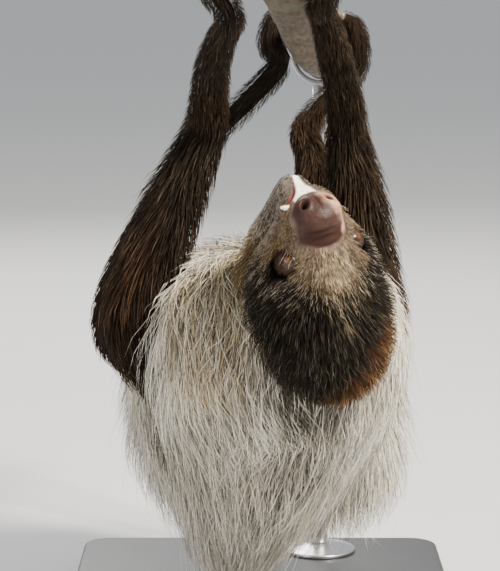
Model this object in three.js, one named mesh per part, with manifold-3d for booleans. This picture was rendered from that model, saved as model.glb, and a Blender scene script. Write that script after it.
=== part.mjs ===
// A life-size two-toed sloth hanging under a cut branch by its four hooked feet, on a plain display stand.
// Millimetres, +Z up. The origin is the centre of the base plate's underside. The animal looks towards -Y,
// its tail end points to +Y, its own left side is at -X, and its belly is up. Every flesh piece reaches out
// to the tips of the coat, and neighbours part at a thin seam.
import * as THREE from "three";
import { mergeVertices } from "three/addons/utils/BufferGeometryUtils.js";
import Module from "manifold-3d";

const wasm = await Module();
wasm.setup();

// ---- driving dimensions ----
const SEAM = 0.4; // gap between neighbouring pieces

const BASE = { length: 620, width: 340, thickness: 18, corner: 26, bevel: 3 };
const ROD = { radius: 8, flangeRadius: 34, flangeLip: 3, flangeHeight: 8, shoulder: 5 };
const COLLAR = { length: 26, wall: 4, clearance: 2 };

const BRANCH_RADIUS = 22;
const BARK = { swell: 0.8, swellRate: 2.3, ridge: 0.9, ridges: 3, twist: 9 };
// Axis of the branch from its front cut to its rear cut: x, y, z.
const BRANCH = [
  [-16, -398, 590],
  [-3, -303, 580],
  [13, -210, 566],
  [28, -90, 541],
  [42, 50, 510],
  [50, 160, 497],
  [56, 258, 490],
  [60, 306, 488],
];
const ROD_STATION = 6; // the rod meets the branch at this row

// The head's own frame: its origin is midway between the eyeballs.
const HEAD_ORIGIN = new THREE.Vector3(37, -320, 379);
const NOSE_DIRECTION = new THREE.Vector3(0.026, -0.6, 0.799);
const CROWN_DIRECTION = new THREE.Vector3(0.472, -0.697, -0.539);

// The eye looks along its gaze, and its socket is a hollow round that line in the coat of the face.
const EYE = { forward: 0.5, side: 23.6, up: 1.8, radius: 8, gaze: [0.78, 0.5, 0.37] };
const SOCKET = { out: 12, radius: 11 };
const EAR = { forward: -47, side: 50, up: 6, length: 15, height: 12, thickness: 10 };
const NOSE = { forward: 31, up: -6, halfWidth: 19, halfHeight: 17, depth: 11 };
const NOSTRIL = { side: 9, up: -7.5, radius: 2.9, depth: 8, splay: 3 };
const TOOTH = { forward: 31, side: 13, up: -17, radius: 2.6, ahead: 1.5, out: 7, down: 2 };

// Stations along the head, nape to snout: forward, centre height, half width, height above, depth below.
const HEAD = [
  [-104, 14, 32, 38, 26],
  [-88, 10, 44, 55, 38],
  [-66, 5, 51, 65, 46],
  [-45, 0, 53.5, 64, 46],
  [-25, -3, 50, 56, 42],
  [-10, -6, 43, 44, 34],
  [3, -9, 34.5, 34, 28],
  [13, -11, 27.5, 27.5, 25],
  [22, -13, 22.5, 23.5, 23],
  [30, -15, 19, 21, 20.5],
];
const JAW = [
  [-69, -34, 41, 20, 30],
  [-47, -38, 44, 20, 28],
  [-20, -39, 36, 15, 22],
  [-2, -40, 27, 11, 16],
  [12, -40, 20, 8, 12],
  [23, -41, 14.5, 7, 9],
  [30, -42, 9, 5, 6.5],
];

// The body from behind the face to the rump: x, y, z, half width, half height above, half height below.
const BODY = [
  [34, -284, 340, 48, 46, 44],
  [31, -262, 326, 72, 66, 60],
  [20, -232, 307, 96, 87, 84],
  [10, -196, 290, 103, 91, 99],
  [3, -150, 271, 104, 88, 108],
  [0, -90, 254, 108, 92, 114],
  [-2, -20, 243, 110, 92, 116],
  [0, 50, 244, 118, 92, 108],
  [2, 115, 254, 125, 90, 98],
  [4, 165, 268, 100, 78, 80],
  [5, 198, 280, 60, 50, 50],
];
const NECK_END = 3; // the neck parts from the trunk at this row
// Shaggy haunches swell from the trunk's lower sides: how far each moves its side out and down, the place
// along the body, and the angle round the section where they peak.
const HAUNCH = { left: [-24, -30], right: [31, -64], centre: 78, reach: 130, angle: 44, spread: 31 };
// The long back hair hangs to a keel under the trunk.
const KEEL = { depth: 62, lean: -26, centre: -50, reach: 150, sharpness: 6 };

// Limbs from the body to the wrist or ankle: x, y, z, half depth front to back, half width.
const LIMBS = {
  arm_left: [
    [-62, -172, 262, 34, 34],
    [-90, -181, 302, 37, 36],
    [-84, -178, 345, 34, 31],
    [-66, -175, 398, 28, 27],
    [-45, -173, 446, 21, 20],
    [-40, -198, 474, 17, 16.5],
    [-37, -238, 499, 15, 14.5],
    [-30, -278, 521, 13, 12.5],
    [-23, -305, 537, 11, 10.5],
  ],
  arm_right: [
    [54, -135, 262, 34, 34],
    [80, -142, 298, 36, 35],
    [78, -136, 345, 32, 30],
    [72, -130, 396, 27, 26],
    [65, -127, 438, 21, 20],
    [62, -142, 468, 17, 16.5],
    [55, -170, 497, 15, 15],
    [47, -196, 524, 13, 13],
    [41, -212, 542, 11, 11],
  ],
  leg_left: [
    [-62, 118, 256, 40, 38],
    [-88, 80, 256, 39, 36],
    [-108, 44, 258, 33, 32],
    [-117, 18, 269, 28, 28],
    [-117, 6, 296, 25, 25],
    [-104, 12, 334, 21, 21],
    [-84, 26, 374, 17, 17],
    [-60, 43, 412, 13.5, 13],
  ],
  leg_right: [
    [66, 122, 262, 40, 38],
    [65, 84, 286, 38, 36],
    [58, 44, 308, 32, 31],
    [51, 16, 324, 28, 27],
    [48, 6, 348, 25, 25],
    [46, 18, 380, 21, 21],
    [43, 46, 409, 17, 17],
    [38, 74, 436, 13.5, 13],
  ],
};

// Each limb's joint rows, its piece names, and its hold on the branch. along is the place on the branch as a
// share of its rows, side is -1 where the limb comes up on the branch's left, and reach is the angle round
// the branch where the claws end.
const HOLDS = [
  {
    limb: "arm_left",
    joints: [4, 8],
    names: ["upper_arm_left", "forearm_left", "hand_left", "claw_hand_left_"],
    along: 0.125,
    side: -1,
    claws: 2,
    halfWidth: 17,
    reach: 196,
  },
  {
    limb: "arm_right",
    joints: [4, 8],
    names: ["upper_arm_right", "forearm_right", "hand_right", "claw_hand_right_"],
    along: 0.27,
    side: 1,
    claws: 2,
    halfWidth: 17,
    reach: 196,
  },
  {
    limb: "leg_left",
    joints: [4, 7],
    names: ["thigh_left", "shin_left", "foot_left", "claw_foot_left_"],
    along: 0.585,
    side: -1,
    claws: 3,
    halfWidth: 19,
    reach: 172,
  },
  {
    limb: "leg_right",
    joints: [4, 7],
    names: ["thigh_right", "shin_right", "foot_right", "claw_foot_right_"],
    along: 0.655,
    side: 1,
    claws: 3,
    halfWidth: 19,
    reach: 172,
  },
];
const PALM_THICKNESS = 12;
// The palm's rows round the branch: angle, distance out from the palm's own line, share of its half width,
// half thickness.
const PALM = [
  [-38, 3, 0.78, 11.5],
  [-4, 0, 1, 12],
  [28, 0, 1, 11],
  [48, -2, 0.82, 8.5],
];
const CLAW = { radius: 4.4, tip: 0.8, spacing: 10.5, start: 48, lift: 6, clearance: 2.6, rows: 8 };

// ---- shape helpers ----
const X_RIGHT = new THREE.Vector3(1, 0, 0);
const Z_UP = new THREE.Vector3(0, 0, 1);
const point = (p) => new THREE.Vector3(p[0], p[1], p[2]);
const curveThrough = (points) => new THREE.CatmullRomCurve3(points, false, "catmullrom", 0.5);

/** A three.js geometry as a closed solid that can be cut. */
function solidOf(geometry) {
  const bare = geometry.clone();
  bare.deleteAttribute("normal");
  bare.deleteAttribute("uv");
  const merged = mergeVertices(bare, 1e-3);
  const index = merged.index.array;
  const triangles = [];
  for (let i = 0; i < index.length; i += 3) {
    const [a, b, c] = [index[i], index[i + 1], index[i + 2]];
    if (a !== b && b !== c && c !== a) triangles.push(a, b, c);
  }
  return new wasm.Manifold(
    new wasm.Mesh({
      numProp: 3,
      vertProperties: merged.attributes.position.array,
      triVerts: new Uint32Array(triangles),
    }),
  );
}

/** Rings of points joined into a closed skin, with a pole beyond the first ring and one beyond the last. */
function skinOver(rings, startPole, endPole) {
  const around = rings[0].length;
  const first = rings.length * around;
  const triangles = [];
  for (let j = 0; j < around; j++) {
    const k = (j + 1) % around;
    const top = first - around;
    triangles.push(first, k, j, top + j, top + k, first + 1);
    for (let i = 0; i < top; i += around) {
      triangles.push(i + j, i + k, i + k + around);
      triangles.push(i + j, i + k + around, i + j + around);
    }
  }
  const geometry = new THREE.BufferGeometry().setFromPoints([...rings.flat(), startPole, endPole]);
  return solidOf(geometry.setIndex(triangles));
}

/**
 * The sections along a line of rows: a row's first three numbers are its centre and the next three its half
 * width, half height above and half height below. The reference direction points to the sections' top.
 */
function sectionsAlong(rows, reference) {
  const spine = curveThrough(rows.map(point));
  const girth = curveThrough(
    rows.map(([, , , width, above = width, below = above]) => new THREE.Vector3(width, above, below)),
  );
  return (t) => {
    const along = spine.getTangent(t);
    const side = new THREE.Vector3().crossVectors(reference, along).normalize();
    const up = new THREE.Vector3().crossVectors(along, side);
    return { centre: spine.getPoint(t), along, side, up, size: girth.getPoint(t), t };
  };
}

/**
 * A body over the sections between two shares of their line. Each end is domed by its share of the end's
 * least half size; a dome of 0 leaves a flat end, half a seam short. grow swells the body, whose flat ends
 * then reach into the seam, and shape(section, c, s) adds to the ring point of cosine c and sine s.
 */
function bodyOver(sectionAt, { from = 0, to = 1, around, steps, domes, domeRings = 2, grow = 0, shape }) {
  const ring = (f, scale, shift) =>
    Array.from({ length: around }, (_, j) => {
      const angle = (2 * Math.PI * j) / around;
      const [c, s] = [Math.cos(angle), Math.sin(angle)];
      const p = new THREE.Vector3();
      p.addScaledVector(f.side, (f.size.x + grow) * c);
      p.addScaledVector(f.up, ((s < 0 ? f.size.z : f.size.y) + grow) * s);
      if (shape) p.add(shape(f, c, s));
      return p.multiplyScalar(scale).add(f.centre).addScaledVector(f.along, shift);
    });
  const flat = grow ? SEAM / 4 : -SEAM / 2;
  const depthOf = (f, dome) => (dome ? dome * Math.min(f.size.x, f.size.y, f.size.z) + grow : flat);
  const ringsOver = (f, dome, sign) => {
    const turns = dome ? domeRings : 0;
    return Array.from({ length: turns }, (_, i) => {
      const angle = ((i + 1) * Math.PI) / 2 / (turns + 1);
      return ring(f, Math.cos(angle), sign * depthOf(f, dome) * Math.sin(angle));
    });
  };
  const frames = Array.from({ length: steps + 1 }, (_, i) => sectionAt(from + ((to - from) * i) / steps));
  const [start, end] = [frames[0], frames[steps]];
  const rings = [
    ...ringsOver(start, domes[0], -1).reverse(),
    ring(start, 1, domes[0] ? 0 : -flat),
    ...frames.slice(1, steps).map((f) => ring(f, 1, 0)),
    ring(end, 1, domes[1] ? 0 : flat),
    ...ringsOver(end, domes[1], 1),
  ];
  const startPole = start.centre.clone().addScaledVector(start.along, -depthOf(start, domes[0]));
  const endPole = end.centre.clone().addScaledVector(end.along, depthOf(end, domes[1]));
  return skinOver(rings, startPole, endPole);
}

/** A cone or cylinder between two places. */
function coneBetween(from, to, radius, endRadius, sides) {
  const length = from.distanceTo(to);
  const body = new THREE.CylinderGeometry(endRadius, radius, length, sides);
  body.translate(0, length / 2, 0);
  const turn = new THREE.Quaternion();
  turn.setFromUnitVectors(new THREE.Vector3(0, 1, 0), to.clone().sub(from).normalize());
  return solidOf(body.applyQuaternion(turn).translate(from.x, from.y, from.z));
}

const without = (solid, ...others) => others.reduce((rest, other) => rest.subtract(other), solid);
const largestPiece = (solid) => solid.decompose().sort((a, b) => b.volume() - a.volume())[0];

// ---- perch and stand ----
const branchAt = sectionsAlong(
  BRANCH.map((p, i) => [...p, BRANCH_RADIUS + BARK.swell * Math.sin(BARK.swellRate * i)]),
  Z_UP,
);
const rodMeets = branchAt(ROD_STATION / (BRANCH.length - 1));

/** Shallow lengthwise ridges that wind along the branch. */
const barkShape = (f, c, s) => {
  const ridge = BARK.ridge * Math.sin(BARK.ridges * Math.atan2(s, c) + BARK.twist * f.t);
  return new THREE.Vector3().addScaledVector(f.side, ridge * c).addScaledVector(f.up, ridge * s);
};
const branch = (grow = 0) =>
  bodyOver(branchAt, { around: 12, steps: 14, domes: [0.06, 0.06], domeRings: 1, grow, shape: barkShape });

/** The plate's lower bevel is cut off, so that it stands on its full flat underside. */
function basePlate() {
  const [x, y] = [BASE.width / 2 - BASE.bevel, BASE.length / 2 - BASE.bevel];
  const r = BASE.corner;
  const outline = new THREE.Shape();
  outline.moveTo(r - x, -y);
  outline.absarc(x - r, r - y, r, -Math.PI / 2, 0);
  outline.absarc(x - r, y - r, r, 0, Math.PI / 2);
  outline.absarc(r - x, y - r, r, Math.PI / 2, Math.PI);
  outline.absarc(r - x, r - y, r, Math.PI, 1.5 * Math.PI);
  const plate = new THREE.ExtrudeGeometry(outline, {
    depth: BASE.thickness - BASE.bevel,
    bevelThickness: BASE.bevel,
    bevelSize: BASE.bevel,
    bevelSegments: 1,
    curveSegments: 5,
  });
  const slab = new THREE.BoxGeometry(2 * BASE.width, 2 * BASE.length, 2 * BASE.bevel);
  return without(solidOf(plate), solidOf(slab.translate(0, 0, -BASE.bevel)));
}

function rodFlange() {
  const { flangeRadius, flangeLip, flangeHeight, radius, shoulder } = ROD;
  const profile = [
    new THREE.Vector2(0, 0),
    new THREE.Vector2(flangeRadius, 0),
    new THREE.Vector2(flangeRadius, flangeLip),
    new THREE.Vector2(radius + shoulder, flangeHeight),
    new THREE.Vector2(0, flangeHeight),
  ];
  const turned = new THREE.LatheGeometry(profile, 24).rotateX(Math.PI / 2);
  return solidOf(turned.translate(rodMeets.centre.x, rodMeets.centre.y, BASE.thickness + SEAM));
}

/** A plain ring round the branch where the rod holds it. */
function collar() {
  const inner = BRANCH_RADIUS + COLLAR.clearance;
  const outer = inner + COLLAR.wall;
  const half = COLLAR.length / 2;
  const profile = [
    new THREE.Vector2(inner, -half),
    new THREE.Vector2(outer, -half),
    new THREE.Vector2(outer, half),
    new THREE.Vector2(inner, half),
    new THREE.Vector2(inner, -half),
  ];
  const ring = new THREE.LatheGeometry(profile, 24);
  ring.applyQuaternion(new THREE.Quaternion().setFromUnitVectors(new THREE.Vector3(0, 1, 0), rodMeets.along));
  return solidOf(ring.translate(...rodMeets.centre.toArray()));
}

/** The rod stops a seam below the collar, whose slope its top end follows. */
function rod() {
  const foot = new THREE.Vector3(rodMeets.centre.x, rodMeets.centre.y, BASE.thickness + ROD.flangeHeight);
  foot.z += 2 * SEAM;
  const half = rodMeets.along.clone().multiplyScalar(COLLAR.length);
  const outer = BRANCH_RADIUS + COLLAR.clearance + COLLAR.wall + SEAM;
  const [near, far] = [rodMeets.centre.clone().sub(half), rodMeets.centre.clone().add(half)];
  return without(
    coneBetween(foot, rodMeets.centre, ROD.radius, ROD.radius, 16),
    coneBetween(near, far, outer, outer, 24),
  );
}

// ---- head ----
const forward = NOSE_DIRECTION.clone().normalize();
const left = new THREE.Vector3().crossVectors(CROWN_DIRECTION, forward).normalize();
const crown = new THREE.Vector3().crossVectors(forward, left);

/** A place in the head's frame: forward to the nose, towards its left side, up to its crown. */
const inHead = (f, l, u) =>
  HEAD_ORIGIN.clone().addScaledVector(forward, f).addScaledVector(left, l).addScaledVector(crown, u);

/** Sections along the head's rows, all square to its forward direction. */
function headSections(rows) {
  const sectionAt = sectionsAlong(
    rows.map(([f, u, ...sizes]) => [...inHead(f, 0, u).toArray(), ...sizes]),
    crown,
  );
  return (t) => ({ ...sectionAt(t), along: forward, side: left, up: crown });
}
const skullAt = headSections(HEAD);
const jawAt = headSections(JAW);
const skull = (grow = 0) => bodyOver(skullAt, { around: 20, steps: 13, domes: [0.5, 0.35], grow });
const jaw = (grow = 0) => bodyOver(jawAt, { around: 14, steps: 7, domes: [0.7, 0.7], grow });

/** An ellipsoid in the head's frame. */
function headBall(place, halfSizes, segments, rings, grow) {
  const ball = new THREE.SphereGeometry(1, segments, rings);
  ball.scale(...halfSizes.map((size) => size + grow));
  ball.applyMatrix4(new THREE.Matrix4().makeBasis(forward, left, crown));
  return solidOf(ball.translate(...place.toArray()));
}

const nosePad = (grow = 0) =>
  headBall(
    inHead(NOSE.forward, 0, NOSE.up),
    [NOSE.depth, NOSE.halfWidth, NOSE.halfHeight],
    14,
    10,
    grow,
  );
const eyeball = (side, grow = 0) =>
  headBall(inHead(EYE.forward, side * EYE.side, EYE.up), Array(3).fill(EYE.radius), 12, 8, grow);
/** The hollow of the coat in front of an eye. */
function eyeSocket(side) {
  const [f, l, u] = EYE.gaze.map((share) => share * SOCKET.out);
  const place = inHead(EYE.forward + f, side * (EYE.side + l), EYE.up + u);
  return headBall(place, Array(3).fill(SOCKET.radius), 10, 6, 0);
}
const earFlap = (side, grow = 0) =>
  headBall(
    inHead(EAR.forward, side * EAR.side, EAR.up),
    [EAR.length / 2, EAR.thickness / 2, EAR.height / 2],
    10,
    6,
    grow,
  );

/** The hollow of one nostril; it narrows inwards and slants to the middle. */
function nostril(side) {
  const front = NOSE.forward + NOSE.depth;
  const mouth = inHead(front + 2, side * (NOSTRIL.side + 1), NOSTRIL.up);
  const inside = inHead(front - NOSTRIL.depth, side * (NOSTRIL.side - NOSTRIL.splay), NOSTRIL.up);
  return coneBetween(inside, mouth, NOSTRIL.radius / 2, NOSTRIL.radius, 10);
}

function tooth() {
  const root = inHead(TOOTH.forward, TOOTH.side, TOOTH.up);
  const tip = inHead(TOOTH.forward + TOOTH.ahead, TOOTH.side + TOOTH.out, TOOTH.up - TOOTH.down);
  return coneBetween(root, tip, TOOTH.radius, 0.9, 8);
}

// ---- body and limbs ----
const hump = (value, centre, reach) => Math.max(0, 1 - ((value - centre) / reach) ** 2);

/** What hanging hair adds to the body's plain oval: the keel in the middle and the haunches at the sides. */
function hangingHair(f, c, s) {
  const keel = s < 0 ? hump(f.centre.y, KEEL.centre, KEEL.reach) * Math.abs(s) ** KEEL.sharpness : 0;
  const below = THREE.MathUtils.radToDeg(Math.atan2(-s, Math.abs(c)));
  const haunch = hump(f.centre.y, HAUNCH.centre, HAUNCH.reach) * hump(below, HAUNCH.angle, HAUNCH.spread);
  const [out, down] = c * f.side.x < 0 ? HAUNCH.left : HAUNCH.right;
  return new THREE.Vector3(KEEL.lean * keel + out * haunch, 0, down * haunch - KEEL.depth * keel);
}
const bodyAt = sectionsAlong(BODY, Z_UP);
const neckEnd = NECK_END / (BODY.length - 1);
const neck = (grow = 0) =>
  bodyOver(bodyAt, { to: neckEnd, around: 24, steps: 5, domes: [0.32, 0], grow, shape: hangingHair });

const trunk = (grow = 0) =>
  bodyOver(bodyAt, { from: neckEnd, around: 32, steps: 12, domes: [0, 0.55], grow, shape: hangingHair });

/** A place round the branch at a hold: angle 0 is level on the limb's side, and 90 is on top. */
function roundBranch(hold, angle, radius, shift = 0) {
  const f = branchAt(hold.along);
  const turn = THREE.MathUtils.degToRad(angle);
  const p = f.centre.clone().addScaledVector(f.along, shift);
  const out = f.side.clone().multiplyScalar(-hold.side);
  return p.addScaledVector(out, radius * Math.cos(turn)).addScaledVector(f.up, radius * Math.sin(turn));
}

/** All rows of a limb, from the body to the last knuckle. */
function limbRows(hold) {
  const line = BRANCH_RADIUS + PALM_THICKNESS + 2;
  const palm = PALM.map(([angle, out, share, thickness]) => {
    const place = roundBranch(hold, angle, line + out).toArray();
    return [...place, share * hold.halfWidth, thickness];
  });
  return [...LIMBS[hold.limb], ...palm];
}

/** A length of a limb between two of its rows; domed where it starts in the body or ends in the knuckles. */
function limbPiece(hold, first, last, { steps, domes, reference, grow = 0 }) {
  const rows = limbRows(hold);
  const share = (row) => row / (rows.length - 1);
  const sections = sectionsAlong(rows, reference);
  return bodyOver(sections, { from: share(first), to: share(last), around: 12, steps, domes, grow });
}

function palmPiece(hold, grow = 0) {
  const rows = limbRows(hold);
  const radial = roundBranch(hold, 0, 1).sub(roundBranch(hold, 0, 0));
  return limbPiece(hold, hold.joints[1], rows.length - 1, { steps: 6, domes: [0, 0.6], reference: radial, grow });
}

function claw(hold, index, grow = 0) {
  const shift = (index - (hold.claws - 1) / 2) * CLAW.spacing;
  const rows = Array.from({ length: CLAW.rows }, (_, i) => {
    const t = i / (CLAW.rows - 1);
    const thick = THREE.MathUtils.lerp(CLAW.radius, CLAW.tip, t);
    const radius = BRANCH_RADIUS + CLAW.clearance + thick + CLAW.lift * (1 - t) ** 3;
    const angle = THREE.MathUtils.lerp(CLAW.start, hold.reach, t);
    return [...roundBranch(hold, angle, radius, shift).toArray(), thick];
  });
  const sections = sectionsAlong(rows, branchAt(hold.along).along);
  return bodyOver(sections, { around: 6, steps: 8, domes: [0.5, 0.5], domeRings: 1, grow });
}

// ---- materials ----
const finish = (color, roughness, metalness = 0) =>
  new THREE.MeshStandardMaterial({ color, roughness, metalness });
const FINISHES = {
  darkCoat: finish(0x3a261c, 0.95),
  paleCoat: finish(0xb9ad98, 0.95),
  headCoat: finish(0x5d4a35, 0.95),
  noseSkin: finish(0x7a5650, 0.45),
  eye: finish(0x6a2f10, 0.08),
  claw: finish(0x8b7f6c, 0.4),
  tooth: finish(0xe9e0cc, 0.35),
  bark: finish(0x7b6a52, 0.9),
  stand: finish(0x2b2b2d, 0.5),
  rod: finish(0xb8babd, 0.35, 0.9),
};

// ---- assembly ----
const model = new THREE.Group();

function addNode(name, solid, material) {
  const { numProp, vertProperties, triVerts } = largestPiece(solid).getMesh();
  const corners = Array.from({ length: vertProperties.length / numProp }, (_, i) =>
    new THREE.Vector3().fromArray(vertProperties, i * numProp),
  );
  const geometry = new THREE.BufferGeometry().setFromPoints(corners);
  geometry.setIndex(new THREE.BufferAttribute(triVerts, 1));
  geometry.computeVertexNormals();
  const mesh = new THREE.Mesh(geometry, material);
  mesh.name = name;
  model.add(mesh);
}

function addHead() {
  const nose = nosePad(SEAM);
  const hollows = [eyeball(1, SEAM), eyeball(-1, SEAM), eyeSocket(1), eyeSocket(-1)];
  addNode("head", without(skull(), ...hollows, nose), FINISHES.headCoat);
  addNode("jaw", without(jaw(), skull(SEAM), nose), FINISHES.headCoat);
  addNode("nose", without(nosePad(), nostril(1), nostril(-1)), FINISHES.noseSkin);
  addNode("tooth_left", without(tooth(), skull(SEAM), jaw(SEAM), nose), FINISHES.tooth);
  addNode("eye_left", eyeball(1), FINISHES.eye);
  addNode("eye_right", eyeball(-1), FINISHES.eye);
  addNode("ear_left", without(earFlap(1), skull(SEAM)), FINISHES.headCoat);
  addNode("ear_right", without(earFlap(-1), skull(SEAM)), FINISHES.headCoat);
}

function addLimb(hold) {
  const [upper, lower, end, clawName] = hold.names;
  const [bend, wrist] = hold.joints;
  const torso = neck(SEAM).add(trunk(SEAM));
  const perch = branch(SEAM);
  const upperPiece = (grow) =>
    limbPiece(hold, 0, bend, { steps: 5, domes: [0.75, 0], reference: X_RIGHT, grow });
  const lowerPiece = (grow) =>
    limbPiece(hold, bend, wrist, { steps: 5, domes: [0, 0], reference: X_RIGHT, grow });
  addNode(upper, without(upperPiece(0), torso), FINISHES.darkCoat);
  addNode(lower, without(lowerPiece(0), torso, upperPiece(SEAM)), FINISHES.darkCoat);
  addNode(end, without(palmPiece(hold), perch, lowerPiece(SEAM)), FINISHES.darkCoat);
  for (let i = 0; i < hold.claws; i++)
    addNode(clawName + (i + 1), without(claw(hold, i), palmPiece(hold, SEAM), perch), FINISHES.claw);
}

addHead();
const wholeHead = [skull(SEAM), jaw(SEAM), earFlap(1, SEAM), earFlap(-1, SEAM)];
addNode("neck", without(neck(), ...wholeHead), FINISHES.paleCoat);
addNode("trunk", trunk(), FINISHES.paleCoat);
HOLDS.forEach(addLimb);
addNode("perch", branch(), FINISHES.bark);
addNode("stand_base", basePlate(), FINISHES.stand);
addNode("stand_flange", rodFlange(), FINISHES.rod);
addNode("stand_rod", rod(), FINISHES.rod);
addNode("stand_collar", collar(), FINISHES.rod);

export default model;
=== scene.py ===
"""A life-size two-toed sloth that hangs under a cut branch on a plain display stand.

Works in millimetres until a mesh is made, then in metres. +Z is up, the animal looks towards -Y with its
belly up, and its own left side is at -X. One skin lies under the coat, which is combed tufts of real mesh.
"""

import itertools
import math

import bmesh
import bpy
import numpy as np
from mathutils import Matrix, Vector


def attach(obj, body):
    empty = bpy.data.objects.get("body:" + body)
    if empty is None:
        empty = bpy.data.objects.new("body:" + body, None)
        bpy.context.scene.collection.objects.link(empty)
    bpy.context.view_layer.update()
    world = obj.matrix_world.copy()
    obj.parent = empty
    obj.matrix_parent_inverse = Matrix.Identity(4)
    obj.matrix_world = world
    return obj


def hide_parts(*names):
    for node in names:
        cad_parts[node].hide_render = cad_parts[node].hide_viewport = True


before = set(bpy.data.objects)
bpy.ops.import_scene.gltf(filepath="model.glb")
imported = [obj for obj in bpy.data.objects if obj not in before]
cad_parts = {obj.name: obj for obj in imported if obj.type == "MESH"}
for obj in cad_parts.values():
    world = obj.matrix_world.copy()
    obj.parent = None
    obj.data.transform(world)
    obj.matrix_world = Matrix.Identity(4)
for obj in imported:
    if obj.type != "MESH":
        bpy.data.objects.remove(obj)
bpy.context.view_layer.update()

# ---- camera, floor and light ----
# The camera stands a little above the upturned face and looks down by eight degrees. The floor is a plain pale
# disc. A soft lamp high on the right is the key, a weak one on the left fills, and a third stands behind.
LOOK_AT = Vector((-0.010, -0.285, 0.350))
CAMERA_DISTANCE = 1.6
CAMERA_DROP = math.radians(8)
VIEW_HEIGHT = math.radians(14.24)
FLOOR_RADIUS = 45.0
FLOOR_DROP = 0.5  # millimetres below the stand
SENSOR = 36


def node(tree, kind, inputs=(), **settings):
    """A shader node with its settings and its inputs; an input is a value or another node's output."""
    made = tree.nodes.new(kind)
    for key, value in settings.items():
        setattr(made, key, value)
    for key, value in dict(inputs).items():
        if isinstance(value, bpy.types.NodeSocket):
            tree.links.new(value, made.inputs[key])
        else:
            made.inputs[key].default_value = value
    return made


def surface_material(name, **plain):
    """A material whose shader has the plain socket values given, by socket name with _ for a space."""
    material = bpy.data.materials.new(name)
    material.use_nodes = True
    shader = material.node_tree.nodes["Principled BSDF"]
    for key, value in plain.items():
        shader.inputs[key.replace("_", " ")].default_value = value
    return material, material.node_tree, shader


def noise(tree, vector, scale, detail, **more):
    """A noise texture read at a vector."""
    return node(tree, "ShaderNodeTexNoise", {"Vector": vector, "Scale": scale, "Detail": detail, **more})


def toned(tree, share, *stops):
    """A colour ramp over a share, from stops of (place, colour); the first and last stops come first."""
    made = node(tree, "ShaderNodeValToRGB", {"Fac": share})
    elements = made.color_ramp.elements
    for element, (place, color) in zip(elements, stops):
        element.position, element.color = place, (*color, 1)
    for place, color in stops[2:]:
        elements.new(place).color = (*color, 1)
    return made.outputs["Color"]


def spread(tree, value, low, high):
    """A share from 0 to 1 carried over to the range from low to high."""
    made = node(tree, "ShaderNodeMapRange", {"Value": value, "To Min": low, "To Max": high})
    return made.outputs["Result"]


def scaled(tree, color, share):
    """A colour made lighter or darker by a share."""
    made = node(tree, "ShaderNodeVectorMath", {0: color, "Scale": share}, operation="SCALE")
    return made.outputs["Vector"]


def bumped(tree, shader, height, strength, distance):
    """Relief of a height on a shader, with its distance in metres."""
    made = node(tree, "ShaderNodeBump", {"Height": height, "Strength": strength, "Distance": distance})
    tree.links.new(made.outputs["Normal"], shader.inputs["Normal"])


def object_place(tree):
    """Places in the object's own frame."""
    return node(tree, "ShaderNodeTexCoord").outputs["Object"]


def corner_points(mesh):
    """The vertex of each face corner."""
    corners = np.empty(len(mesh.loops), np.int32)
    mesh.loops.foreach_get("vertex_index", corners)
    return corners


def set_vertices(mesh, points):
    """Puts a mesh's vertices at points in millimetres."""
    mesh.vertices.foreach_set("co", (points * 0.001).astype(np.float32).ravel())


def in_scene(name, data):
    """A new object in the scene."""
    made = bpy.data.objects.new(name, data)
    bpy.context.scene.collection.objects.link(made)
    return made


def circle(sides):
    """Points of a level circle of radius one."""
    turn = np.linspace(0, 2 * np.pi, sides, endpoint=False)
    return np.stack([np.cos(turn), np.sin(turn), 0 * turn], 1)


def add_uv(mesh, name, places):
    """A UV map from a place for each face corner."""
    layer = mesh.uv_layers.new(name=name)
    layer.data.foreach_set("uv", places.astype(np.float32).ravel())


def add_mesh(name, points, faces, materials, slot=None, replaces=()):
    """One smooth mesh from points in millimetres and arrays of triangles or quads; given a slot, it rides on
    the body and the parts it replaces are hidden.
    """
    mesh = bpy.data.meshes.new(name)
    mesh.vertices.add(len(points))
    set_vertices(mesh, points)
    corners = np.concatenate([f.ravel() for f in faces]).astype(np.int32)
    sizes = np.concatenate([np.full(len(f), f.shape[1]) for f in faces])
    mesh.loops.add(len(corners))
    mesh.loops.foreach_set("vertex_index", corners)
    mesh.polygons.add(len(sizes))
    mesh.polygons.foreach_set("loop_start", (np.cumsum(sizes) - sizes).astype(np.int32))
    mesh.update(calc_edges=True)
    mesh.shade_smooth()
    for material in materials:
        mesh.materials.append(material)
    piece = in_scene(name, mesh)
    if slot:
        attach(piece, "root")
        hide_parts(*replaces)
    return piece


camera = in_scene("camera", bpy.data.cameras.new("camera"))
camera.data.sensor_fit = "VERTICAL"
camera.data.sensor_width = camera.data.sensor_height = SENSOR
camera.data.lens = SENSOR / 2 / math.tan(VIEW_HEIGHT / 2)
camera.data.clip_start, camera.data.clip_end = 0.05, 200
camera.data.dof.use_dof = False
toward = Vector((0, math.cos(CAMERA_DROP), -math.sin(CAMERA_DROP)))
camera.location = LOOK_AT - toward * CAMERA_DISTANCE
camera.rotation_euler = toward.to_track_quat("-Z", "Y").to_euler()
bpy.context.scene.camera = camera

floor_paint, tree, shader = surface_material("floor_paint", Roughness=0.9)
speck = node(tree, "ShaderNodeTexNoise", {"Scale": 3.0, "Detail": 2.0})
tint = toned(tree, speck.outputs["Fac"], (0, (0.60, 0.60, 0.59)), (1, (0.64, 0.64, 0.63)))
tree.links.new(tint, shader.inputs["Base Color"])
rim = circle(64) * FLOOR_RADIUS * 1000
floor = add_mesh("floor", rim - [0, 0, FLOOR_DROP], [np.arange(64)[None, :]], [floor_paint])

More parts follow.
